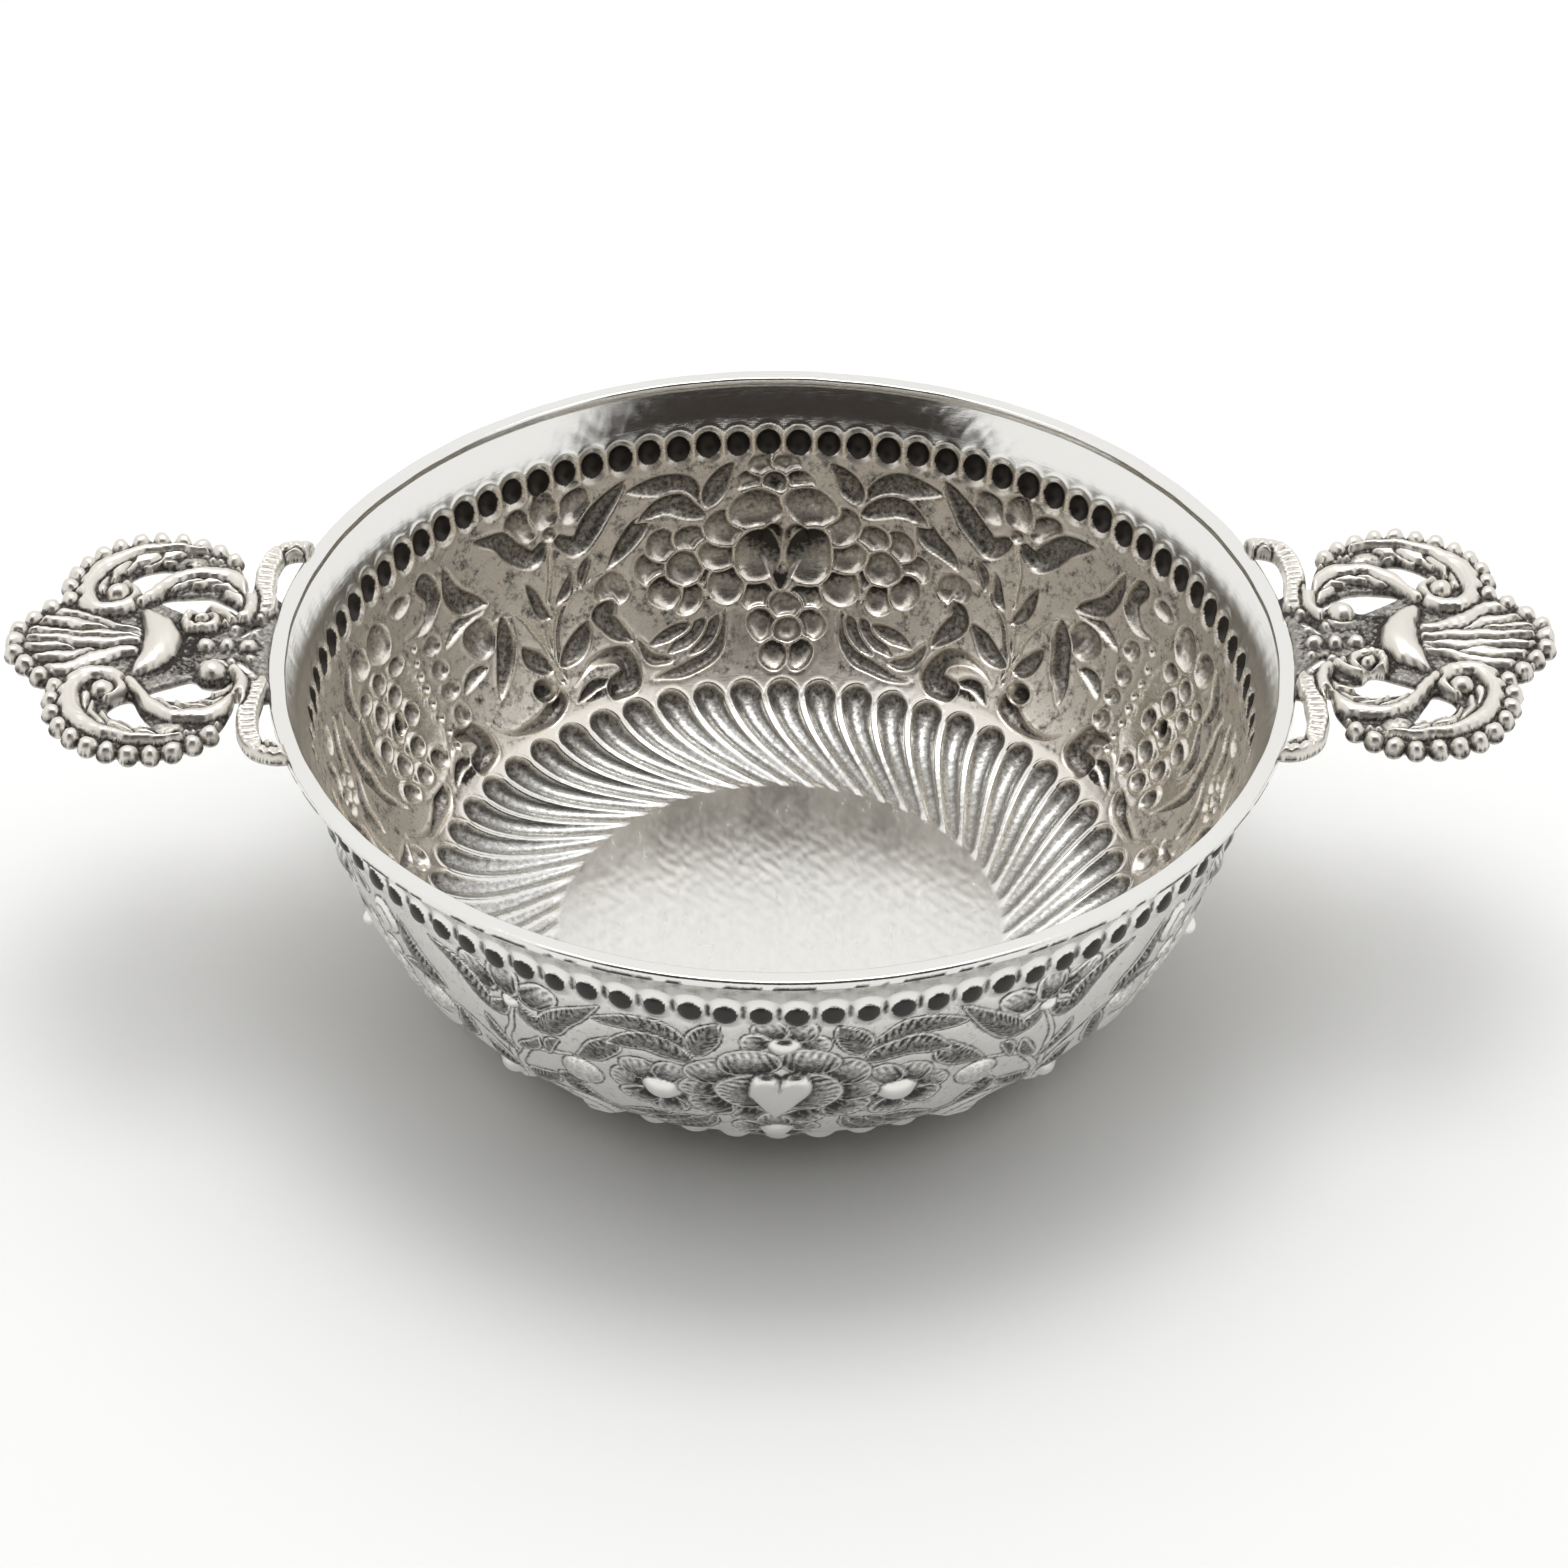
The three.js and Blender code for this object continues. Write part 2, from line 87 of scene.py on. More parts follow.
class BrandyBowlSheet(bpy.types.PropertyGroup):
    """Sizes of the raised and embossed sheet"""

    sheet_thickness: length("Sheet thickness", 0.8, "Silver sheet the bowl is raised from")
    floor_radius: length("Floor radius", 33, "Flat floor, out to where the gadroons start")
    floor_run: length("Floor run", 17.5, "How far the wall's curve keeps the floor's direction")
    floor_lift: turn("Floor lift", 5.7, "Slope with which the wall leaves the floor")
    wall_drop: length("Wall drop", 34, "How far the wall's curve keeps its direction below the beads")
    wall_lean: turn("Wall lean", 9.5, "Outward lean of the wall at the beads")
    bead_ring_radius: length("Bead ring radius", 67, "Inside of the sheet at the ring of beads")
    bead_ring_height: length("Bead ring height", 41.9, "Height of the ring of beads over the table")
    lip_radius: length("Lip radius", 71, "Inside of the sheet at the lip")
    lip_height: length("Lip height", 50, "Height of the lip over the table")
    lip_width: length("Lip width", 1.2, "Flat on top of the lip, under the rim wire")
    band_rise: length("Band rise", 4.5, "How far the band over the beads keeps the wall's direction")
    band_flare: turn("Band flare", 40, "Outward flare of the band at the lip")
    bead_count: count("Beads", 90, "Beads in the embossed ring")
    bead_width: length("Bead width", 3.7, "Width of one embossed bead")
    bead_depth: length("Bead depth", 1.25, "How far a bead is pressed outwards")
    gadroon_count: count("Gadroons", 54, "Swirling flutes round the floor")
    gadroon_length: length("Gadroon length", 20.5, "Length of a flute along the wall's curve")
    gadroon_depth: length("Gadroon depth", 1.6, "Depth of a flute at its round head")
    gadroon_swirl: turn("Gadroon swirl", 19, "How far a flute turns round the bowl on its way in")
    ornament_depth: length("Ornament depth", 2.0, "How far the deepest flower is pressed outwards")


class BrandyBowlRim(bpy.types.PropertyGroup):
    """Sizes of the wire on the lip"""

    rim_radius: length("Rim radius", 73, "Outside of the rim wire")
    wire_width: length("Wire width", 2.5, "Width of the wire across its flat top")
    wire_height: length("Wire height", 1.5, "Height of the wire over the lip")
    wire_round: length("Wire round", 0.45, "Rounding of the wire's edges")


class BrandyBowlHandles(bpy.types.PropertyGroup):
    """Sizes of the two cast handles"""

    plate_thickness: length("Plate thickness", 1.8, "Thickness of the pierced plate")
    tilt: turn("Tilt", 2, "Rise of a handle towards its tip")
    turn: turn("Turn", 1, "Turn of both handles round the bowl")
    lift: length("Lift", 0.8, "Plate's top over the top of the rim wire")
    lobe_radius: length("Lobe radius", 13.6, "Round lobe on each side of a handle")
    lobe_reach: length("Lobe reach", 16.5, "Middle of a lobe out from the rim")
    lobe_offset: length("Lobe offset", 12.8, "Middle of a lobe from the handle's axis")
    tip_reach: length("Tip reach", 37.4, "Handle's tip out from the rim")
    bead_radius: length("Bead radius", 1.42, "Beads along a handle's border")


class BrandyBowlFinish(bpy.types.PropertyGroup):
    """Colours and wear of the silver"""

    silver: colour("Silver", 0xEAE9E5, "Polished old silver")
    tarnish: colour("Tarnish", 0xEAE3D8, "Thin warm tarnish on the embossed inside")
    pits: colour("Pits", 0x8F887D, "Grey of the fine pits in the punched ground")
    # Also the colour of the painted shade and painted reflection on the sheet and the rim wire
    oxide: colour("Oxide", 0x2A2522, "Dark silver sulphide left in the hollows")
    cast_silver: colour("Cast silver", 0xDDDAD3, "Polished high parts of the cast handles")


class BrandyBowlStage(bpy.types.PropertyGroup):
    """Colours round the bowl"""

    floor: colour("Floor", 0xFBFBFA, "Pale floor under the bowl")
    dark_card: colour("Dark card", 0x45403D, "Dark screen round the camera, which only shows in the silver")
    pale_card: colour("Pale card", 0xD6D4D0, "The screen's top, where it nears the ceiling")


SHEET = "brandy_bowl_sheet"
RIM = "brandy_bowl_rim"
HANDLES = "brandy_bowl_handles"
FINISH = "brandy_bowl_finish"
STAGE = "brandy_bowl_stage"
GROUPS = {
    SHEET: BrandyBowlSheet,
    RIM: BrandyBowlRim,
    HANDLES: BrandyBowlHandles,
    FINISH: BrandyBowlFinish,
    STAGE: BrandyBowlStage,
}


def group_of(name):
    return getattr(bpy.context.scene, name)


def in_mm(name):
    """One group's sizes, with its lengths in millimetres."""
    group = group_of(name)
    sizes = SimpleNamespace()
    for size in group.__annotations__:
        value = getattr(group, size)
        is_length = group.bl_rna.properties[size].unit == "LENGTH"
        setattr(sizes, size, value / MM if is_length else value)
    return sizes


# Meshes

# What the material reads at each point: dark sulphide with painted shade and painted reflection, ground
# roughened with a punch, and thin tarnish
WEAR = ("dark", "punched", "tarnish")


def link(piece):
    bpy.context.scene.collection.objects.link(piece)


def silver_mesh(name, points, quads, triangles, wear, quad_spots, triangle_spots):
    """A smooth mesh object from arrays: points in millimetres, faces, the wear at each point and the
    spots of the faces' corners on the map."""
    mesh = bpy.data.meshes.new(name)
    mesh.vertices.add(len(points))
    mesh.vertices.foreach_set("co", (points * MM).astype(np.float32).ravel())
    corners = np.concatenate([quads.ravel(), triangles.ravel()]).astype(np.int32)
    quad_starts = np.arange(len(quads)) * 4
    triangle_starts = len(quads) * 4 + np.arange(len(triangles)) * 3
    starts = np.concatenate([quad_starts, triangle_starts]).astype(np.int32)
    mesh.loops.add(len(corners))
    mesh.loops.foreach_set("vertex_index", corners)
    mesh.polygons.add(len(starts))
    mesh.polygons.foreach_set("loop_start", starts)
    mesh.polygons.foreach_set("use_smooth", np.ones(len(starts), bool))
    mesh.update(calc_edges=True)
    for attribute, values in zip(WEAR, wear):
        layer = mesh.attributes.new(attribute, "FLOAT", "POINT")
        layer.data.foreach_set("value", values.astype(np.float32).ravel())
    # An even map of the whole piece, for anyone who bakes or paints it
    spots = np.concatenate([quad_spots.ravel(), triangle_spots.ravel()]).astype(np.float32)
    mesh.uv_layers.new(name="OFBake").data.foreach_set("uv", spots)
    piece = bpy.data.objects.new(name, mesh)
    link(piece)
    return piece


def ring_quads(columns, rings):
    """The ring and the column, both counted on past the last, of every corner of a skin's quads."""
    ring, column = np.meshgrid(np.arange(rings), np.arange(columns), indexing="ij")
    corner_ring = np.stack([ring, ring, ring + 1, ring + 1], -1).reshape(-1, 4)
    corner_column = np.stack([column, column + 1, column + 1, column], -1).reshape(-1, 4)
    return corner_ring, corner_column


# Curves and distances on the unrolled sheet


def bend(first, second, third, fourth, steps):
    """Steps along a smooth curve from the second point up to the third, which the outer two shape."""
    share = np.linspace(0, 1, steps, endpoint=False)[:, None]
    return 0.5 * (
        2 * second + (third - first) * share
        + (2 * first - 5 * second + 4 * third - fourth) * share ** 2
        + (3 * second - first - 3 * third + fourth) * share ** 3
    )


def smooth_route(points, steps=7):
    """A smooth route through three points or more."""
    points = np.asarray(points, float)
    ends = np.vstack([2 * points[0] - points[1], points, 2 * points[-1] - points[-2]])
    pieces = [bend(*four, steps) for four in zip(ends, ends[1:], ends[2:], ends[3:])]
    return np.vstack(pieces + [points[-1:]])


def closed_route(points, steps=6):
    """A smooth closed outline through points."""
    points = np.asarray(points, float)
    shifted = [np.roll(points, -step, axis=0) for step in (-1, 0, 1, 2)]
    return np.vstack([bend(*four, steps) for four in zip(*shifted)])


def pulled_curve(points, steps=600):
    """Steps along a curve from the first point, left towards the second, to the fourth, reached from
    the third."""
    share = np.linspace(0, 1, steps)[:, None]
    start, leave, arrive, end = points
    return (
        (1 - share) ** 3 * start + 3 * (1 - share) ** 2 * share * leave
        + 3 * (1 - share) * share ** 2 * arrive + share ** 3 * end
    )


def run_of(route):
    """The distance gone at each point of a route."""
    return np.concatenate([[0], np.cumsum(np.hypot(*np.diff(route, axis=0).T))])


def beside(route, x, y):
    """For each point: how far along a route its nearest spot is, as a share, on which side of the route
    the point lies, and how far off."""
    start = route[:-1]
    step = np.diff(route, axis=0)
    size = np.hypot(step[:, 0], step[:, 1])
    to_x = x[..., None] - start[:, 0]
    to_y = y[..., None] - start[:, 1]
    part = np.clip((to_x * step[:, 0] + to_y * step[:, 1]) / size ** 2, 0, 1)
    off_x = to_x - part * step[:, 0]
    off_y = to_y - part * step[:, 1]
    gap = off_x ** 2 + off_y ** 2
    side = np.sign(step[:, 0] * to_y - step[:, 1] * to_x)
    nearest = gap.argmin(-1)
    part, side, gap = (
        np.take_along_axis(values, nearest[..., None], -1)[..., 0] for values in (part, side, gap)
    )
    run = run_of(route)
    along = (run[nearest] + part * size[nearest]) / run[-1]
    return along, side, np.sqrt(gap)


def ease(value, low, high):
    """A smooth step from 0 at low to 1 at high."""
    share = np.clip((value - low) / (high - low), 0, 1)
    return share * share * (3 - 2 * share)


def blurred(values, width, wraps):
    """A field softened by a bell curve of a width in cells. Where it wraps, as round the bowl, its last
    column goes on in its first."""
    reach = int(3 * width) + 1
    bell = np.exp(-0.5 * (np.arange(-reach, reach + 1) / width) ** 2)
    bell /= bell.sum()
    for axis, mode in ((1, "wrap" if wraps else "edge"), (0, "edge")):
        pad = [(0, 0), (0, 0)]
        pad[axis] = (reach, reach)
        padded = np.pad(values, pad, mode=mode)
        total = np.zeros_like(values)
        for offset, weight in enumerate(bell):
            cut = [slice(None), slice(None)]
            cut[axis] = slice(offset, offset + values.shape[axis])
            total += weight * padded[tuple(cut)]
        values = total
    return values


def dish(inside, half, depth, steep=2.4):
    """A hollow that is steep at its edge and round in its middle."""
    to_edge = 1 - np.clip(inside / half, 0, 1)
    return depth * (1 - to_edge ** steep)


def line_at(off, width):
    """How strongly a drawn line shows at a distance from its middle, from 1 down to 0."""
    return np.exp(-(off / width) ** 2)


# The fine lines in leaves, and those in petals, which are a little wider apart
VEIN_PITCH = 0.95
HATCH_PITCH = VEIN_PITCH / 0.9


class Relief:
    """A field of heights on a grid, into which leaves, petals and beads are pressed."""

    def __init__(self, x, y, period=None):
        self.x = x
        self.y = y
        self.period = period
        self.height = np.zeros((len(y), len(x)))
        # How dark the inner face is, how far the outer one is hollowed back, and how dark that one is
        self.tone = np.zeros_like(self.height)
        self.spoon = np.zeros_like(self.height)
        self.shade = np.zeros_like(self.height)
        # 1 where no shape has been pressed in
        self.ground = np.ones_like(self.height)
        # The depth and width of the line chased round a shape, and how soon what lies round it sinks
        self.edge = 0.24
        self.edge_width = 0.27
        self.wall = 0.5
        self.uneven = 1.0

    def window(self, points, margin):
        """The cells about points, and their places, counted on from the points where the field wraps."""
        low = points.min(0) - margin
        high = points.max(0) + margin
        rows = np.flatnonzero((self.y >= low[1]) & (self.y <= high[1]))
        middle = (low[0] + high[0]) / 2
        off = self.x - middle
        if self.period:
            off = (off + self.period / 2) % self.period - self.period / 2
        columns = np.flatnonzero(np.abs(off) <= (high[0] - low[0]) / 2)
        x, y = np.meshgrid(middle + off[columns], self.y[rows])
        # No two strokes of a hammer are alike. The waves fit whole round the bowl, or on 60 mm
        around = np.broadcast_to(self.x[columns] / (self.period or 60) * FULL_TURN, x.shape)
        uneven_x = 0.3 * np.sin(11 * around + 0.35 * y) + 0.14 * np.sin(37 * around + 0.8 * y)
        uneven_y = 0.28 * np.sin(13 * around - 0.3 * y) + 0.14 * np.sin(41 * around + 0.6 * y)
        return np.ix_(rows, columns), x + self.uneven * uneven_x, y + self.uneven * uneven_y

    def press(self, cells, inside, shape, tone=0.0, edge=None, spoon=0.0, shade=0.0):
        """Presses a shape in where inside is over 0, with a thin chased line along its edge."""
        within = inside > 0
        edge = self.edge if edge is None else edge
        faded = self.height[cells] * ease(-inside, 0, self.wall)
        self.height[cells] = np.where(within, shape, faded) - edge * line_at(inside, self.edge_width)
        kept = ease(-inside, 0, 0.3)
        self.tone[cells] = np.where(within, tone, self.tone[cells] * kept)
        self.spoon[cells] = np.where(within, spoon, self.spoon[cells] * kept)
        # The dirt in the chased line lies just outside the shape
        chased = 0.8 * line_at(inside + 0.05, 0.2) * (edge > 0)
        self.shade[cells] = np.maximum(np.where(within, shade, self.shade[cells] * kept), chased)
        self.ground[cells] = np.where(within, 0, self.ground[cells])

    def leaf(self, points, half, depth, veins=0.8):
        """A pointed leaf with a midrib and slanting veins, widest nearer to its root."""
        route = smooth_route(points)
        cells, x, y = self.window(route, half + 1.2)
        along, _, gap = beside(route, x, y)
        outline = np.sin(math.pi * np.clip(along, 0, 1) ** 0.82) ** 0.7
        inside = half * outline - gap
        shape = dish(inside, half * 0.9, depth, 2.0)
        shape -= veins * 0.1 * line_at(gap, 0.28) * ease(inside, 0, 0.5)
        slant = along * run_of(route)[-1] - gap * 0.8
        lines = np.sin(FULL_TURN * slant / VEIN_PITCH)
        shape += veins * 0.045 * lines * ease(inside, 0, 0.4) * ease(gap, 0.2, 0.5)
        # Seen from outside: a dark spoon with hatched edges inside a bright rim
        body = ease(inside, 0.1, 0.45)
        shade = body * (0.98 + 0.25 * lines * ease(gap, 0.2 * half, 0.6 * half))
        tone = 0.92 * veins * body
        self.press(cells, inside, shape, tone, spoon=ease(inside, 0.1, 0.8), shade=veins * shade)

    def stem(self, points, half, depth):
        """A thin stem that tapers towards its end."""
        route = smooth_route(points)
        cells, x, y = self.window(route, half + 1)
        along, _, gap = beside(route, x, y)
        inside = half * (1 - 0.45 * along) - gap
        self.press(cells, inside, dish(inside, half, depth), tone=0.25, edge=0.16)

    def petal(self, centre, root, wide, deep, depth, hatch=1.0, edge=None):
        """A round, finely hatched petal. Outside it is hollowed to a spoon, darkest at its root."""
        centre = np.asarray(centre, float)
        cells, x, y = self.window(centre[None], max(wide, deep) + 1.2)
        root = np.asarray(root, float)
        out = centre - root
        out = out / max(np.hypot(*out), 1e-6)
        run = (x - centre[0]) * out[0] + (y - centre[1]) * out[1]
        off = -(x - centre[0]) * out[1] + (y - centre[1]) * out[0]
        ratio = np.hypot(run / deep, off / wide)
        inside = (1 - ratio) * min(wide, deep) * (0.6 + 0.4 * np.clip(ratio, 0, 1))
        far = np.hypot(x - root[0], y - root[1])
        angle = np.arctan2(off, run + np.hypot(*(centre - root)))
        lines = np.sin(angle * np.maximum(far, 1) * FULL_TURN / HATCH_PITCH)
        shape = dish(inside, min(wide, deep) * 0.95, depth, 2.0)
        shape += hatch * 0.04 * lines * ease(inside, 0.1, 0.5) * ease(ratio, 0.35, 0.8)
        to_tip = np.clip(0.5 + 0.5 * run / deep, 0, 1)
        shade = ease(inside, 0.1, 0.5) * (1.14 - 0.82 * to_tip + 0.25 * lines * ease(ratio, 0.3, 0.75))
        # Darker towards the root; painted shade makes the upper half, which faces down, darker, and the
        # lower half, which faces up, lighter
        above = np.clip((y - centre[1]) / min(wide, deep), -1, 1)
        tone = hatch * (0.8 - 0.42 * to_tip + 0.42 * above) * ease(inside, 0.05, 0.5)
        self.press(cells, inside, shape, tone, edge, spoon=ease(inside, 0.1, 0.9), shade=hatch * shade)

    def knob(self, centre, wide, deep, depth, ribs=0, tone=0.6, spin=0.0):
        """A smooth round boss, or one with a few curved ribs."""
        centre = np.asarray(centre, float)
        cells, x, y = self.window(centre[None], max(wide, deep) + 1.2)
        off_x = (x - centre[0]) * math.cos(spin) + (y - centre[1]) * math.sin(spin)
        off_y = (y - centre[1]) * math.cos(spin) - (x - centre[0]) * math.sin(spin)
        ratio = np.hypot(off_x / wide, off_y / deep)
        inside = (1 - ratio) * min(wide, deep)
        shape = dish(inside, min(wide, deep), depth)
        if ribs:
            bulge = off_x / (wide * np.sqrt(np.clip(1 - (off_y / deep) ** 2, 0.05, 1)))
            grooves = line_at(np.sin(bulge * math.pi * ribs / 2), 0.35)
            shape -= 0.2 * grooves * ease(inside, 0.1, 0.5)
        body = ease(inside, 0.05, 0.5)
        self.press(cells, inside, shape, tone * body, shade=0.4 * (ribs > 0) * body)

    def comma(self, points, head, depth):
        """A volute: a round head that runs out along a curve to a thin tail."""
        tail = 0.15
        route = smooth_route(points)
        cells, x, y = self.window(route, head + 1.2)
        along, _, gap = beside(route, x, y)
        half = head * (tail + (1 - tail) * (1 - ease(along, 0.1, 1.0)))
        inside = half - gap
        shape = dish(inside, head, depth * (0.55 + 0.45 * (1 - along)))
        shape -= 0.16 * line_at(gap - half * 0.45, 0.25) * ease(inside, 0, 0.4)
        shade = 0.6 * line_at(gap - half * 0.5, 0.3) * ease(inside, 0, 0.4)
        tone = (0.75 - 0.5 * ease(along, 0.2, 0.9)) * ease(inside, 0.05, 0.5)
        self.press(cells, inside, shape, tone, spoon=0.5 * ease(inside, 0.2, 1.2), shade=shade)

    def bead(self, centre, radius, rise):
        """A smooth round bead that stands on the ground."""
        centre = np.asarray(centre, float)
        cells, x, y = self.window(centre[None], radius + 0.8)
        gap = np.hypot(x - centre[0], y - centre[1])
        inside = radius - gap
        shape = rise * np.sqrt(np.clip(1 - (gap / radius) ** 2, 0, 1)) - 0.2
        self.press(cells, inside, shape)

    def rays(self, centre, inner, outer, number, depth):
        """Fine lines across a band round a centre."""
        cells, x, y = self.window(np.asarray(centre, float)[None], outer + 0.5)
        gap = np.hypot(x - centre[0], y - centre[1])
        angle = np.arctan2(y - centre[1], x - centre[0])
        band = ease(gap, inner, inner + 0.4) * ease(-gap, -outer, -outer + 0.4)
        self.height[cells] += depth * np.sin(number * angle) * band

    def strap(self, points, half, rise, pitch):
        """A flat strap with a raised edge on both sides and cross ribs between."""
        route = smooth_route(points)
        cells, x, y = self.window(route, half + 1)
        along, _, gap = beside(route, x, y)
        inside = half - gap
        ribs = np.abs(np.sin(math.pi * along * run_of(route)[-1] / pitch)) ** 0.7
        shape = rise * (0.3 + 0.5 * ribs) * ease(inside, 0.35, 0.7)
        shape += rise * line_at(inside - 0.3, 0.25)
        self.press(cells, inside, shape)

    def scroll(self, points, halves, rise):
        """A round scroll of changing width, with fine lines drawn along it."""
        route = smooth_route(points)
        cells, x, y = self.window(route, max(halves) + 1)
        along, side, gap = beside(route, x, y)
        half = np.interp(along, (0, 0.45, 1), halves)
        inside = half - gap
        shape = rise * np.sqrt(np.clip(1 - (gap / half) ** 2, 0, 1)) - 0.1
        lines = np.sin(FULL_TURN * (1.6 * side * gap / half + 0.6 * along)) ** 2
        shape -= 0.24 * (1 - lines) ** 3 * ease(half, 0.6, 1.1)
        self.press(cells, inside, shape)

    def frond(self, points, half, rise):
        """A leaf's lobe with fine ribs that run along it to its tip."""
        route = smooth_route(points)
        cells, x, y = self.window(route, half + 1)
        along, side, gap = beside(route, x, y)
        wide = half * np.sin(math.pi * np.clip(0.12 + 0.88 * along, 0, 1) ** 0.9) ** 0.6
        inside = wide - gap
        across = np.clip(gap / np.maximum(wide, 0.05), 0, 1)
        shape = rise * (1 - 0.75 * across ** 2) - 0.05
        shape -= 0.17 * np.abs(np.sin(FULL_TURN * side * across * 1.5)) ** 1.5 * ease(inside, 0, 0.3)
        self.press(cells, inside, shape)

    def crescent(self, centre, half_wide, half_long, bow, rise):
        """A smooth bowed pad, thick in its middle and pointed at its ends."""
        centre = np.asarray(centre, float)
        cells, x, y = self.window(centre[None], half_long + bow + 1)
        up = (y - centre[1]) / half_long
        off = x - centre[0] - bow * up ** 2
        half = half_wide * np.sqrt(np.clip(1 - up ** 2, 0, 1))
        inside = np.where(np.abs(up) < 1, (half - np.abs(off)) * 0.9, -1)
        shape = rise * np.sqrt(np.clip(1 - (off / half_wide) ** 2 - up ** 2, 0, 1))
        self.press(cells, inside, shape)

    def seeds(self, centre, wide, deep, pitch, depth, tone=0.6):
        """A patch of small punched dots, each row shifted by half a dot."""
        centre = np.asarray(centre, float)
        cells, x, y = self.window(centre[None], max(wide, deep) + 0.5)
        ratio = np.hypot((x - centre[0]) / wide, (y - centre[1]) / deep)
        row_pitch = pitch * 0.87
        row = np.round((y - centre[1]) / row_pitch)
        off_y = y - centre[1] - row * row_pitch
        shifted = x - centre[0] + (row % 2) * pitch / 2
        off_x = shifted - np.round(shifted / pitch) * pitch
        dots = np.clip(1 - np.hypot(off_x, off_y) / (pitch * 0.42), 0, 1)
        inside = ease(1 - ratio, 0, 0.15)
        self.height[cells] += depth * np.sqrt(dots) * inside
        self.tone[cells] = np.maximum(self.tone[cells], tone * inside)
        self.shade[cells] = np.maximum(self.shade[cells], tone * inside * (1 - dots))


# The embossed sheet


class Wall:
    """Draws one motif's strokes on the unrolled wall, in degrees from its middle and millimetres up."""

    def __init__(self, relief, middle, mirror, strength):
        self.relief = relief
        self.middle = middle
        self.mirror = mirror
        self.strength = strength

    def spot(self, point):
        return [(self.middle + self.mirror * point[0]) * DRAWN_MM_PER_DEGREE, point[1]]

    def route(self, points):
        return [self.spot(point) for point in points]

    def leaf(self, points, half, depth=1.0, **kinds):
        self.relief.leaf(self.route(points), half, depth * self.strength, **kinds)

    def stem(self, points, half=0.55, depth=0.5):
        self.relief.stem(self.route(points), half, depth * self.strength)

    def petal(self, centre, root, wide, deep, depth=1.2, **kinds):
        self.relief.petal(self.spot(centre), self.spot(root), wide, deep, depth * self.strength, **kinds)

    def knob(self, centre, wide, deep, depth=1.4, spin=0.0, **kinds):
        self.relief.knob(
            self.spot(centre), wide, deep, depth * self.strength, spin=self.mirror * spin, **kinds
        )

    def comma(self, points, head, depth=1.5):
        self.relief.comma(self.route(points), head, depth * self.strength)

    def seeds(self, centre, wide, deep, pitch=0.9, depth=0.22):
        self.relief.seeds(self.spot(centre), wide, deep, pitch, depth * self.strength)


def petal_ring(wall, middle, reach, size, number, first, depth=1.05):
    """A flower's petals, evenly round its middle, the first at an angle in degrees. They are a little
    shorter than wide."""
    for index in range(number):
        angle = math.radians(first + index * 360 / number)
        across = middle[0] + reach * math.cos(angle) / DRAWN_MM_PER_DEGREE
        wall.petal((across, middle[1] + reach * math.sin(angle)), middle, size, size * 0.97, depth)


def flower_cluster(relief, middle, strength):
    """The heart flower with a flower on each side, one above and one below."""
    centre = Wall(relief, middle, 1, strength)
    sides = [Wall(relief, middle, mirror, strength) for mirror in (1, -1)]
    for side in sides:
        side.leaf([(10.6, 48.4), (15, 53.2), (22.4, 53)], 2.2, 1.0)
        side.leaf([(10.4, 47.2), (15.6, 49.9), (20.8, 47.6)], 2.1, 1.0)
        side.leaf([(10.2, 48.8), (8.8, 52.6), (6.6, 56)], 2, 1.0)
        side.leaf([(8.4, 32.4), (11, 26), (15.6, 23.2), (22.2, 22.4)], 1.5, 0.8)
        side.leaf([(9.4, 31.6), (12.4, 27.4), (15.4, 25.2)], 1.45, 0.8)
        side.leaf([(11.6, 31.2), (14.8, 28.2), (18.8, 25.6)], 1.45, 0.8)
        side.leaf([(13.8, 30.4), (17.6, 29.2), (21.6, 27.8)], 1.4, 0.8)
        side.leaf([(17.5, 24.6), (21, 25.8), (23.6, 29.4)], 1.1, 0.7)
    petal_ring(centre, (0.9, 52.2), 3.5, 2.3, 6, 0)
    centre.knob((0.9, 52), 2, 1.9, 1.3)
    for side in sides:
        petal_ring(side, (14.6, 39.1), 4.7, 2.8, 7, 10)
        side.knob((14.6, 39.1), 2.8, 2.7, 1.35)
    # Petals round the heart, from the lowest to the two large ones on top
    for side in sides:
        side.petal((3.3, 33.2), (0, 38), 3.5, 2.7, 0.95)
        side.petal((8.5, 35.8), (3, 40), 3.4, 3, 0.95)
        side.petal((9.4, 40.5), (3, 40), 2.8, 3.1, 0.95)
        side.petal((8.1, 45.2), (3, 40), 3.4, 3.2, 1.0)
        side.petal((3.7, 48), (2, 42), 4.2, 3.2, 1.1)
    petal_ring(centre, (-0.5, 27.8), 4.1, 2.6, 5, 18)
    centre.knob((-0.5, 28.2), 2.5, 2.1, 1.25)
    for side in sides:
        side.petal((3.8, 40.3), (0.3, 40.4), 4.7, 3.9, 1.15, hatch=1.1)
    heart(centre)


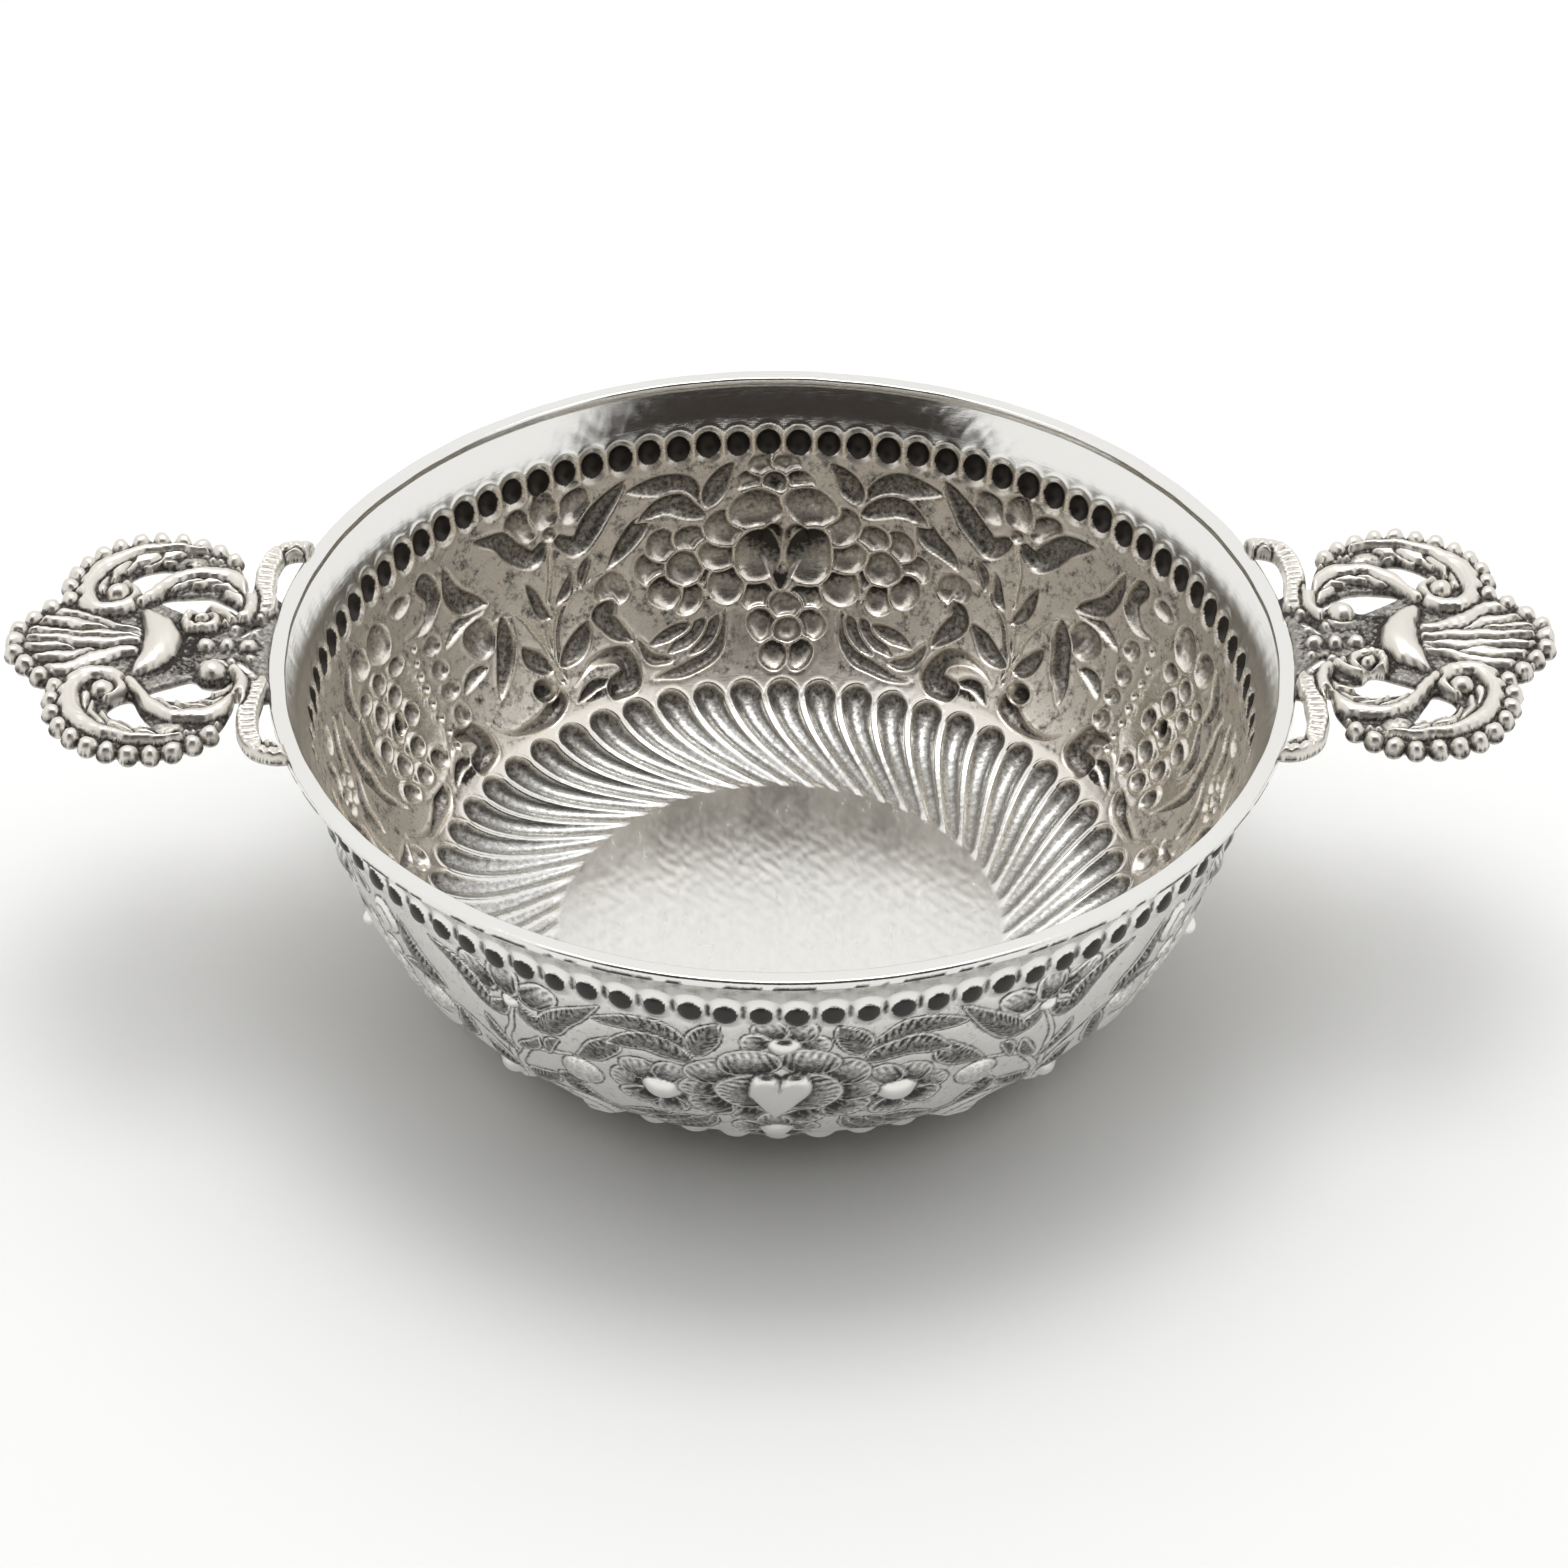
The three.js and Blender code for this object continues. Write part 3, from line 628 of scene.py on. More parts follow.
def heart(wall):
    """The smooth heart in the middle of the flower: two round lobes that run down to a point."""
    relief = wall.relief
    cells, x, y = relief.window(np.array([wall.spot((0, 40))]), 9)
    off = np.abs(x - wall.spot((0, 0))[0])
    lobe_radius = 2.1
    lobe_offset = 1.8
    lobe_up = 39.0
    point_up = 33.8
    # The sizes above are those of a heart with round lobes, which is then stretched up from its point
    stretch = 1.6
    y = point_up + (y - point_up) / stretch
    rise = lobe_up - point_up
    reach = math.hypot(lobe_offset, rise)
    half_point = math.atan2(lobe_offset, rise) + math.asin(lobe_radius / reach)
    lobe = lobe_radius - np.hypot(off - lobe_offset, y - lobe_up)
    # The straight sides touch the lobes and end there
    side = (y - point_up) * math.sin(half_point) - off * math.cos(half_point)
    along = (y - point_up) * math.cos(half_point) + off * math.sin(half_point)
    touch = math.sqrt(reach ** 2 - lobe_radius ** 2)
    between_sides = np.minimum(np.minimum(side, touch - along), lobe_up + 0.2 - y)
    inside = np.maximum(lobe, between_sides)
    # It stands on the two large petals behind it, which it covers, and a crease parts its lobes
    level = np.maximum(relief.height[cells], wall.strength) + dish(inside, 1.1, 0.45, 2.0)
    level -= 0.45 * line_at(off, 0.35) * ease(y, point_up + 1, lobe_up)
    cover = ease(inside, -0.1, 0.35)
    relief.height[cells] += (level - relief.height[cells]) * cover
    relief.spoon[cells] *= 1 - cover
    outline = 0.9 * line_at(inside + 0.15, 0.3)
    relief.shade[cells] = np.maximum(relief.shade[cells] * (1 - cover), outline)


def three_stem_spray(relief, middle, mirror, strength):
    """A tulip on a stem between two arching stems, one with a berry and one with a striped bud."""
    wall = Wall(relief, middle, mirror, strength)
    wall.stem([(-1.2, 26.5), (-0.6, 34), (1, 43), (2.6, 49.5)], 0.62)
    wall.stem([(-1, 27), (0.6, 34), (4.5, 39.6), (9.5, 41.6)], 0.6)
    wall.stem([(-1.4, 27), (-2.2, 34), (-6, 39.4), (-10.5, 40.9)], 0.5)
    # Tulip: a fan of petals between two long leaves
    for across, up in ((-1.8, 53.2), (6.8, 53.2), (2.4, 54.2)):
        wall.petal((across, up), (2.5, 48.5), 2.4, 3.3, 1.1)
    wall.leaf([(2.8, 49.6), (6.2, 46.8), (10, 50.6), (14.6, 55.8)], 2.1, 1.2)
    wall.leaf([(2.2, 49.6), (-1, 47.2), (-5, 52), (-10, 54.4)], 2, 1.2)
    wall.knob((2.5, 50), 1.3, 1.2, 0.9)
    # Leaves off the stems
    wall.leaf([(0.6, 36.2), (-1.4, 39), (-2.6, 43.6)], 1.3, 0.9)
    wall.leaf([(1.6, 38), (3.6, 40), (5.2, 43.4)], 1.1, 0.8)
    wall.leaf([(-0.4, 29.2), (3.2, 31), (6.6, 34.2)], 1.9, 1.1)
    wall.leaf([(-1.8, 29.2), (-4, 31.4), (-5.6, 34.8)], 1.8, 1.1)
    # Berry with a leaf over and under it
    wall.knob((10.6, 38.4), 3, 3, 1.3, ribs=4, tone=0.5)
    wall.leaf([(17, 49.4), (14.6, 45.6), (10.2, 41.8)], 1.9, 1.1)
    wall.leaf([(10.6, 36.4), (8.4, 33.6), (12.2, 28.6)], 1.9, 1.1)
    wall.leaf([(8.2, 44.6), (6.8, 42.8), (5.8, 39.6)], 0.9, 0.7)
    # Striped bud with a hanging leaf
    wall.knob((-12.4, 39.2), 3.1, 3.2, 1.35, ribs=4, tone=0.6, spin=0.5)
    wall.leaf([(-7.6, 40.4), (-9, 34.6), (-12.6, 28.2)], 1.9, 1.2)
    wall.leaf([(-9.8, 42.8), (-14.6, 43), (-19, 41.2)], 1.2, 0.9)
    wall.leaf([(-12.6, 34.8), (-16, 34.2), (-19, 32.4)], 1.3, 0.9)
    wall.leaf([(-9.2, 43.2), (-14.2, 46.8), (-16, 53.2)], 2, 1.1)


def scroll_border(relief, middle, mirror, strength):
    """Two pairs of commas that run along over the gadroons' heads beside one spray, and a last knob."""
    for shift in (0, -30):
        pair = Wall(relief, middle + mirror * shift, mirror, strength)
        pair.seeds((3.5, 23.4), 3.2, 1.2, 0.85, 0.2)
        pair.leaf([(7.2, 24.4), (3.6, 24.8), (-0.6, 22.6)], 1.1, 0.6, veins=1)
        pair.comma([(7.6, 23), (10.8, 24), (9.4, 27.4), (4.8, 28), (0.2, 25.4)], 2.1, 1.7)
        pair.comma([(-5.2, 26.6), (-3.6, 24.2), (-7.4, 22.3), (-13, 22.8), (-16.6, 26)], 1.9, 1.6)
        pair.knob((-4.6, 26.7), 2.2, 2, 1.7, tone=0.3)
    Wall(relief, middle, mirror, strength).knob((-49.2, 23.8), 2.7, 2.6, 1.4, ribs=4, tone=0.5)


def seeded_fruit(relief, middle, mirror, strength):
    """A round seeded fruit in its husk, with a dark punched middle and a hollow cap."""
    wall = Wall(relief, middle, mirror, strength)
    fruit_across = 1.5
    fruit_up = 36.6
    half_wide = 10.6
    half_high = 11.8
    centre = wall.spot((fruit_across, fruit_up))
    cells, x, y = relief.window(np.array([centre]), half_high + 2)
    ratio = np.hypot((x - centre[0]) / half_wide, (y - centre[1]) / half_high)
    swell = 0.7 * strength * (1 - np.clip(ratio, 0, 1) ** 4)
    relief.press(cells, (1 - ratio) * half_wide, swell, tone=0.35)
    # Rows of seeds, each row shifted by half a seed, without those that would pass the fruit's edge
    seed_pitch = 4.6
    for row, up in enumerate((28.2, 32.2, 36.4, 40.6, 44.6)):
        for column in (-1, 0, 1):
            across = 2.1 + (column + (row % 2) / 2) * seed_pitch
            if abs(across - fruit_across) / 9.4 + abs(up - fruit_up) / 20 <= 0.98:
                wall.petal((across, up), (across, up - 3), 1.95, 1.9, 1.05, hatch=1.2, edge=0.18)
    wall.knob((3.4, 36.8), 1.7, 1.6, 2.3, tone=0.9)
    # Cap over the fruit
    wall.petal((4.6, 50.4), (3.6, 44), 3.1, 3.6, 1.7)
    wall.petal((-0.6, 50.8), (3, 45), 2.6, 3.2, 1.5)
    wall.leaf([(-3.6, 53.2), (-6.2, 49), (-5, 43.2)], 1.6, 1.1)
    # Husk leaves on the outer side
    wall.leaf([(-4.6, 44.4), (-6.6, 40), (-5.2, 34)], 1.5, 1.0)
    wall.leaf([(-10.5, 50.2), (-10.6, 42), (-9.4, 34), (-5.4, 27)], 1.5, 1.1)
    wall.leaf([(-13.2, 51.4), (-15.4, 47), (-14.4, 42)], 1.6, 1.1)
    wall.leaf([(-12.4, 40.6), (-15.4, 36), (-15.2, 30)], 1.5, 1.1)
    # Dotted border, ribbed blobs and the bean over them on the side of the spray
    for up in np.arange(27.5, 46, 2.5):
        wall.knob((11.2, up), 0.85, 0.85, 0.6, tone=0.5)
    for up in (30.2, 34.6, 38.8, 43):
        wall.knob((15.2, up), 1.9, 1.7, 0.9, ribs=3, tone=0.6)
    wall.comma([(16.6, 52), (17.4, 49.4), (15, 46.6), (10.6, 46.6)], 1.9, 1.5)
    wall.petal((11, 52.2), (15, 52), 1.6, 2.5, 0.8)


def handle_flower(relief, middle, strength):
    """A small flower on a stem under each handle, between two fruits."""
    wall = Wall(relief, middle, 1, strength)
    wall.stem([(0, 25.5), (0.5, 31), (0, 38)], 0.5)
    wall.leaf([(0, 28), (2.8, 27), (5.6, 28.6)], 1.1, 0.8)
    wall.leaf([(0, 26.4), (-3, 25.2), (-6, 26.4)], 1.1, 0.8)
    petal_ring(wall, (0, 41.4), 2.3, 1.5, 5, 18, 0.9)
    wall.knob((0, 41.4), 1.4, 1.4, 1.1)
    wall.knob((0, 51.4), 2.1, 2.4, 1.1, ribs=4, tone=0.5)


def gadroons(sizes, degrees, along):
    """Depth of the swirling flutes, and how dark their heads are."""
    inward = np.clip(along / sizes.gadroon_length, 0, 1)
    swirl = -math.degrees(sizes.gadroon_swirl) * (1 - inward) ** 2.2
    pitch = 360 / sizes.gadroon_count
    across = (degrees[None] - swirl[:, None] - 90) / pitch
    across = across - np.round(across)
    half = np.radians(pitch) / 2 * np.interp(along, *wall_reach(sizes))
    off = np.abs(across) * 2 * half[:, None]
    rim = 0.5
    head = np.interp(sizes.gadroon_length, along, half) - rim
    over = np.clip(along - (sizes.gadroon_length - head), 0, None)[:, None]
    reach = np.hypot(off, over)
    wide = np.where(over > 0, head, half[:, None] - rim)
    inside = np.where(along[:, None] > sizes.gadroon_length + rim, -1, wide - reach)
    # A flute is shallow at the floor, and fades out over its head and into the floor
    depth = sizes.gadroon_depth * (0.12 + 0.88 * inward ** 1.25)[:, None]
    flute = dish(inside, wide, depth, 2.2)
    fade = (ease(along, 0, 1.5) * ease(along, sizes.gadroon_length + 2.2, sizes.gadroon_length))[:, None]
    # Every flute has its own thin rim, so that two run side by side between flutes
    rims = 0.2 * line_at(inside + 0.1, 0.18) * (along[:, None] < sizes.gadroon_length + 0.8)
    tone = (0.46 + 0.3 * ease(inward, 0.5, 1))[:, None] * ease(inside, 0, 0.5)
    return (flute - rims) * fade, tone * fade


def bead_ring(sizes, degrees, along, centre):
    """Depth of the ring of beads in its scalloped channel, and how far each point is inside a bead."""
    spacing = FULL_TURN / sizes.bead_count * sizes.bead_ring_radius
    across = degrees / (360 / sizes.bead_count)
    index = np.round(across)
    # Punched one by one, so no two are quite as high or as wide
    off = ((across - index) * spacing)[None]
    up = (along - centre)[:, None] + 0.12 * np.sin(index * 2.7)[None]
    bead = sizes.bead_width / 2 + 0.07 * np.sin(index * 4.1)[None]
    # A bead is a little taller than it is wide
    gap = np.hypot(off, 0.86 * up)
    inside = bead - gap
    depth = sizes.bead_depth * (1 - np.clip(gap / bead, 0, 1) ** 3.2)
    # The channel's edge bows round each bead, and a low bar parts it from the next
    scallop = 2.7 - gap
    channel = 0.2 * ease(scallop, -0.1, 0.3) - 0.22 * line_at(scallop - 0.1, 0.26)
    bar = 0.3 * line_at(np.abs(off) - spacing / 2, 0.42) * ease(1.6 - np.abs(up), 0, 0.5)
    return depth + channel - bar * (inside < 0.1), inside


def wall_curves(sizes):
    """The inside of the plain sheet as the points of two pulled curves, each a radius and a height: the
    wall, then the band."""
    start = np.array([sizes.floor_radius, sizes.sheet_thickness])
    beads = np.array([sizes.bead_ring_radius, sizes.bead_ring_height])
    lip = np.array([sizes.lip_radius, sizes.lip_height])
    lift = np.array([math.cos(sizes.floor_lift), math.sin(sizes.floor_lift)]) * sizes.floor_run
    lean = np.array([math.sin(sizes.wall_lean), math.cos(sizes.wall_lean)])
    flare = np.array([math.sin(sizes.band_flare), math.cos(sizes.band_flare)])
    pull = (sizes.lip_height - sizes.bead_ring_height) / 3
    wall = [start, start + lift, beads - lean * sizes.wall_drop, beads]
    band = [beads, beads + lean * sizes.band_rise, lip - flare * pull, lip]
    return wall, band


def wall_reach(sizes):
    """Distance along the wall and the radius there."""
    curve = pulled_curve(wall_curves(sizes)[0])
    return run_of(curve), curve[:, 0]


def sheet_profile(sizes, spacing):
    """Points up the inside of the sheet at an even spacing, their outward directions and distances."""
    wall, band = (pulled_curve(points) for points in wall_curves(sizes))
    curve = np.vstack([wall, band[1:]])
    run = run_of(curve)
    along = np.linspace(0, run[-1], int(round(run[-1] / spacing)) + 1)
    points = np.stack([np.interp(along, run, curve[:, 0]), np.interp(along, run, curve[:, 1])], -1)
    tangent = np.gradient(points, axis=0)
    tangent /= np.hypot(*tangent.T)[:, None]
    outward = np.stack([tangent[:, 1], -tangent[:, 0]], -1)
    return points, outward, along, run_of(wall)[-1]


# How high the hammer's marks stand on the wall and on the floor, which was planished with more care
WALL_MARKS = 0.022
FLOOR_MARKS = 0.014


def planished(x, y):
    """Low uneven marks of a flat hammer, about 2 mm wide and as far apart, from -1 to 1."""
    marks = np.sin(x * 1.35 + 0.9 * np.sin(y * 0.93 + 0.4)) * np.sin(y * 1.27 + 1.1 * np.sin(x * 0.71 + 1))
    return 0.75 * marks + 0.25 * np.sin(x * 2.9 + y * 2.3 + np.sin(x * 1.7))


def pressed_wall(sizes, columns, along, beads_at):
    """The relief of the whole sheet, pressed outwards in millimetres: its inner and outer heights, how
    dark it is inside and outside, where its punched ground is, and how far each point is in a bead."""
    degrees = np.arange(columns) * 360 / columns
    relief = Relief(degrees * DRAWN_MM_PER_DEGREE, along, 360 * DRAWN_MM_PER_DEGREE)
    # The motifs are drawn as deep as an ornament of 2 mm needs
    strength = sizes.ornament_depth / 2.0
    # Ten motifs and two small flowers, by their middles in degrees round the bowl from the right handle
    for middle, mirror in ((54, 1), (126, -1), (234, 1), (306, -1)):
        scroll_border(relief, middle, mirror, strength)
        three_stem_spray(relief, middle, mirror, strength)
    for middle, mirror in ((18, 1), (162, -1), (198, 1), (342, -1)):
        seeded_fruit(relief, middle, mirror, strength)
    for middle in (90, 270):
        flower_cluster(relief, middle, strength)
    for middle in (0, 180):
        handle_flower(relief, middle, strength)
    flutes, flute_tone = gadroons(sizes, degrees, along)
    beads, inside_bead = bead_ring(sizes, degrees, along, beads_at)
    ornament = ease(along, sizes.gadroon_length + 0.2, sizes.gadroon_length + 1.6)
    ornament = (ornament * ease(-along, -beads_at + 1.6, -beads_at + 2.6))[:, None]
    height = relief.height * ornament + flutes + beads
    tone = np.maximum(relief.tone * ornament, flute_tone)
    round_run, up_run = np.meshgrid(np.radians(degrees) * sizes.bead_ring_radius, along)
    height += WALL_MARKS * planished(round_run, up_run) * ease(along, 0, 4)[:, None]
    height = blurred(height, 0.7, True)
    # Outside the relief is lower, and the petals are hollowed back until the sheet is 0.25 mm thick
    thinned = sizes.sheet_thickness - 0.25
    outer = np.maximum(0.75 * height - 0.5 * relief.spoon * ornament, height - thinned)
    outer = blurred(outer, 0.7, True)
    return height, outer, tone, relief.shade * ornament, relief.ground * ornament, inside_bead


def hollow_dark(height):
    """How dark the hollows of the inner face are: the deeper a spot is, and the deeper than what lies
    round it, the less a cloth reaches it."""
    near = height - blurred(height, 1.8, True)
    round_about = height - blurred(height, 5, True)
    return ease(0.4 * height + 0.7 * round_about + 1.7 * near, 0.15, 1.6)


def seam_dark(height):
    """How dark the outer face is where it lies lower than what is round it."""
    near = blurred(height, 1.8, True) - height
    round_about = blurred(height, 5, True) - height
    return 0.3 * ease(round_about, 0.08, 0.5) + 0.7 * ease(near, 0.03, 0.2)


def embossed_sheet(sizes, columns, spacing):
    """Rings of points of the whole sheet, from the middle of the floor over the lip and back under,
    the wear at each point, and each ring's height on the map."""
    base, outward, along, beads_at = sheet_profile(sizes, spacing)
    inner, outer, tone, shade, ground, inside_bead = pressed_wall(sizes, columns, along, beads_at)
    angle = np.arange(columns) * FULL_TURN / columns
    to_lip = ease(-along, -along[-1], -along[-1] + 2)[:, None]
    inner = inner * to_lip
    outer = outer * to_lip
    # Inside, the beads are black to their edge. Outside, where they stand out as domes, they are painted
    # black short of their edge, a painted reflection of the dark screen round the camera
    inner_dark = np.maximum(np.maximum(hollow_dark(inner), tone), 1.5 * ease(inside_bead, -0.12, 0.12))
    outer_sulphide_and_painted_reflection = np.maximum(np.maximum(seam_dark(outer), shade), 1.5 * ease(inside_bead, 0.22, 0.4))
    # The punch left more of the ground rough inside, and hands have smoothed it outside
    inner_punched = 0.2 * ground
    outer_punched = 0.1 * ground
    # Thin tarnish stays on the flowered wall inside, and fades out over the gadroons' heads
    inner_tarnish = ease(along, sizes.gadroon_length - 8, sizes.gadroon_length + 4)
    inner_tarnish *= ease(-along, -beads_at - 2.2, -beads_at - 1.2)
    outer_tarnish = 0.05
    under_tarnish = 0.1
    smallest_ring = 0.8
    map_gap = 1
    rows = []

    def ring(place, radius, up, *wear):
        radius, up, *wear = (np.broadcast_to(part, angle.shape) for part in (radius, up, *wear))
        point = np.stack([radius * np.cos(angle), radius * np.sin(angle), up], -1)
        rows.append((point, *wear, place))

    # The floor's upper side, from its middle out
    for radius in np.linspace(smallest_ring, sizes.floor_radius, 110)[:-1]:
        marks = FLOOR_MARKS * planished(radius * np.cos(angle), radius * np.sin(angle))
        marks *= ease(radius, 0, 2) * ease(sizes.floor_radius - radius, 0, 3)
        ring(radius, radius, sizes.sheet_thickness + marks, 0, 0, 0)
    # The wall's inner face up to the lip
    start = sizes.floor_radius
    for row in range(len(along)):
        radius = base[row, 0] + outward[row, 0] * inner[row]
        up = base[row, 1] + outward[row, 1] * inner[row]
        ring(start + along[row], radius, up, inner_dark[row], inner_punched[row], inner_tarnish[row])
    # Its outer face down to the table, from the flat top of the lip
    start += along[-1] + map_gap
    for row in range(len(along) - 1, -1, -1):
        push = outer[row] + sizes.sheet_thickness
        lip = row == len(along) - 1
        radius = base[row, 0] + (sizes.lip_width if lip else outward[row, 0] * push)
        up = np.maximum(base[row, 1] + (0 if lip else outward[row, 1] * push), 0)
        place = start + along[-1] - along[row]
        ring(place, radius, up, outer_sulphide_and_painted_reflection[row], outer_punched[row], outer_tarnish)
    # The underside of the floor, back to its middle
    start += along[-1] + map_gap
    for radius in np.linspace(sizes.floor_radius, smallest_ring, 14)[1:]:
        ring(start + sizes.floor_radius - radius, radius, 0, 0, 0, under_tarnish)
    points, *wear, places = (np.array(part) for part in zip(*rows))
    heights = (places - places[0]) / (places[-1] - places[0]) * 0.99 + 0.005
    return points, wear, heights


def skin(name, rings, wear, heights, first_tip, last_tip):
    """A closed piece from rings, with a point in the middle of each end. Its map's rows lie at heights."""
    last_ring = len(rings) - 1
    columns = rings.shape[1]
    points = np.vstack([rings.reshape(-1, 3), first_tip, last_tip])
    ring, column = ring_quads(columns, last_ring)
    quads = ring * columns + column % columns
    quad_spots = np.stack([column / columns, heights[ring]], -1)
    here = np.arange(columns)
    after = here + 1
    last = last_ring * columns
    opening = np.stack([np.full(columns, len(points) - 2), here, after % columns], -1)
    closing = np.stack([last + after % columns, last + here, np.full(columns, len(points) - 1)], -1)
    opening_spots = np.stack([
        np.stack([here, here, after], -1) / columns,
        np.broadcast_to([0, heights[0], heights[0]], (columns, 3)),
    ], -1)
    closing_spots = np.stack([
        np.stack([after, here, here], -1) / columns,
        np.broadcast_to([heights[-1], heights[-1], 1], (columns, 3)),
    ], -1)
    # The rings run outwards on the upper side, so the corners are turned about to face out
    return silver_mesh(
        name, points, quads[:, ::-1], np.vstack([opening, closing]),
        [np.append(part, [0, 0]) for part in wear],
        quad_spots[:, ::-1], np.vstack([opening_spots, closing_spots]),
    )


def rim_wire(sheet, rim):
    """The wire as a closed round of a softened rectangle, a little uneven as filed by hand."""
    inner = rim.rim_radius - rim.wire_width
    top = sheet.lip_height + rim.wire_height
    corners = (
        (rim.rim_radius, sheet.lip_height, -90), (rim.rim_radius, top, 0),
        (inner, top, 90), (inner, sheet.lip_height, 180),
    )
    middle = (inner + rim.rim_radius) / 2
    middle_up = (sheet.lip_height + top) / 2
    corner_steps = 5
    profile = []
    for radius, up, first in corners:
        for step in range(corner_steps + 1):
            angle = math.radians(first + step * 90 / corner_steps)
            profile.append((
                radius + math.copysign(rim.wire_round, middle - radius) + rim.wire_round * math.cos(angle),
                up + math.copysign(rim.wire_round, middle_up - up) + rim.wire_round * math.sin(angle),
            ))
    columns = 720
    angle = np.arange(columns) * FULL_TURN / columns
    wave = 0.06 * np.sin(angle * 7 + 1) + 0.04 * np.sin(angle * 17) + 0.03 * np.sin(angle * 41 + 2)
    # The file only took metal away, so the wire's outside and top dip but don't rise
    dips = np.minimum(wave, 0)
    rings = []
    for radius, up in profile:
        reach = radius + (wave if radius < middle else dips)
        height = up + (0.5 * dips if up > middle_up else np.zeros(columns))
        rings.append(np.stack([reach * np.cos(angle), reach * np.sin(angle), height], -1))
    ring, column = ring_quads(columns, len(rings))
    quads = ring % len(rings) * columns + column % columns
    spots = np.stack([column / columns, ring / len(rings)], -1)
    # Painted shade in the seam under the wire's outer edge, where the wire overhangs the lip, broken in
    # places along the round
    across, up = np.array(profile).T
    seam = (across > middle) & (up < sheet.lip_height + 0.55)
    broken = ease(np.sin(angle * 23) + np.sin(angle * 57 + 1) + np.sin(angle * 131), -0.9, 0.2)
    dark = np.outer(seam, broken).ravel()
    plain = np.zeros(len(rings) * columns)
    return silver_mesh(
        "polished_rim_wire", np.vstack(rings), quads, np.zeros((0, 3), int), (dark, plain, plain),
        spots, np.zeros((0, 2)),
    )


# The cast handles


def enclosed(outline, x, y):
    """Distance to a closed outline, over 0 inside it and under 0 outside."""
    loop = np.vstack([outline, outline[:1]])
    gap = beside(loop, x, y)[2]
    within = np.zeros(x.shape, bool)
    for (start_x, start_y), (end_x, end_y) in zip(loop, loop[1:]):
        if start_y == end_y:
            continue
        passed = (start_y > y) != (end_y > y)
        within ^= passed & (x < (end_x - start_x) * (y - start_y) / (end_y - start_y) + start_x)
    return np.where(within, gap, -gap)


def joined(first, second, fillet):
    """Two signed distances as one, with a small fillet where they meet."""
    blend = np.clip(0.5 + 0.5 * (first - second) / fillet, 0, 1)
    return second + (first - second) * blend + fillet * blend * (1 - blend)


# One side of a handle is drawn in millimetres, out from the rim and across from the handle's axis: two
# openings between the scrolls, a slot at the root, the curled arm, and the web that joins it all.
INNER_OPENING = [
    (4.4, 7.4), (6, 9), (8.6, 8.9), (10.3, 7.4), (13, 8.6), (16, 10.6),
    (15.2, 11.8), (12, 12.5), (9.2, 12.5), (7.4, 11.4), (5.2, 9.6),
]
OUTER_OPENING = [
    (18.2, 12.6), (20.2, 13.6), (21, 15.6), (19.6, 17.6), (16.8, 19), (14.6, 18.7),
    (15.8, 16.8), (17, 14.6),
]
ROOT_SLOT = [(1.3, 5.4), (2.2, 5.8), (4.2, 3.4), (3.6, 2.8)]
ARM = [(1.1, 9), (1.4, 13.8), (1.4, 18.8), (0.2, 22.7), (-2.7, 24.2), (-5.6, 23.8)]
ARM_HALF = 1.7
WEB = [
    (-3, 0), (-3, 11.8), (3, 11.8), (16, 13), (28, 10.2), (31.5, 9.6), (34.4, 5.6), (36.6, 2), (37, 0),
    (36.6, -2), (28, -5), (16, -5), (3, -5), (-3, -5),
]
# The beads between a lobe and the tip: back from the tip and across, in radii of the lobe
TIP_BEADS = [(0.43, 0.59), (0.27, 0.39), (0.14, 0.2)]


def lobe_beads(sizes):
    """Middles of the beads on one side of a handle: round the lobe, then down to the tip."""
    reach = sizes.lobe_radius - 0.9
    angles = np.radians(np.linspace(142, -11, 12))
    lobe = [
        (sizes.lobe_reach + reach * math.cos(angle), sizes.lobe_offset + reach * math.sin(angle))
        for angle in angles
    ]
    tip = [
        (sizes.tip_reach - back * sizes.lobe_radius, aside * sizes.lobe_radius) for back, aside in TIP_BEADS
    ]
    return lobe + tip


def handle_outline(sizes, x, y):
    """Signed distance to the edge of the pierced plate, over 0 in the silver."""
    across = np.abs(y)
    lobe = sizes.lobe_radius - 0.8 - np.hypot(x - sizes.lobe_reach, across - sizes.lobe_offset)
    plate = joined(lobe, enclosed(np.array(WEB), x, across), 0.8)
    for out, aside in lobe_beads(sizes):
        plate = joined(plate, sizes.bead_radius - np.hypot(x - out, across - aside), 0.2)
    arm_share, _, arm_gap = beside(smooth_route(ARM), x, across)
    plate = joined(plate, ARM_HALF - 0.2 * arm_share - arm_gap, 0.8)
    for opening in (INNER_OPENING, OUTER_OPENING, ROOT_SLOT):
        plate = -joined(-plate, enclosed(closed_route(opening), x, across), 0.3)
    # It ends on the rim's round outside, sunk 0.3 mm into the wire as soldered
    rim = np.hypot(x + sizes.rim_radius, y) - (sizes.rim_radius - 0.3)
    return np.minimum(plate, rim)


def cast_relief(sizes, x, y):
    """Heights over the plate's top of scrolls, leaves, beads and fan, and how dark the dots in it are."""
    relief = Relief(x, y)
    relief.wall = 0.45
    relief.uneven = 0.4
    relief.edge = 0.14
    relief.edge_width = 0.22
    # The sunk field keeps the grain of the mould, about 0.6 mm wide
    wide_x, wide_y = np.meshgrid(x, y)
    grain_across = np.sin(wide_x * 5.1 + 1.2 * np.sin(wide_y * 3.3))
    grain_along = np.sin(wide_y * 5.3 + 1.1 * np.sin(wide_x * 3.1))
    relief.height += 0.09 * grain_across * grain_along - 0.35
    for half in (1, -1):
        cast_half(sizes, relief, half)
    cast_middle(relief)
    for half in (1, -1):
        for out, aside in lobe_beads(sizes):
            relief.bead((out, half * aside), sizes.bead_radius, 1.25)
    relief.bead((sizes.tip_reach - 1.5, 0), 1.6, 1.35)
    return blurred(relief.height, 0.7, False), relief.tone


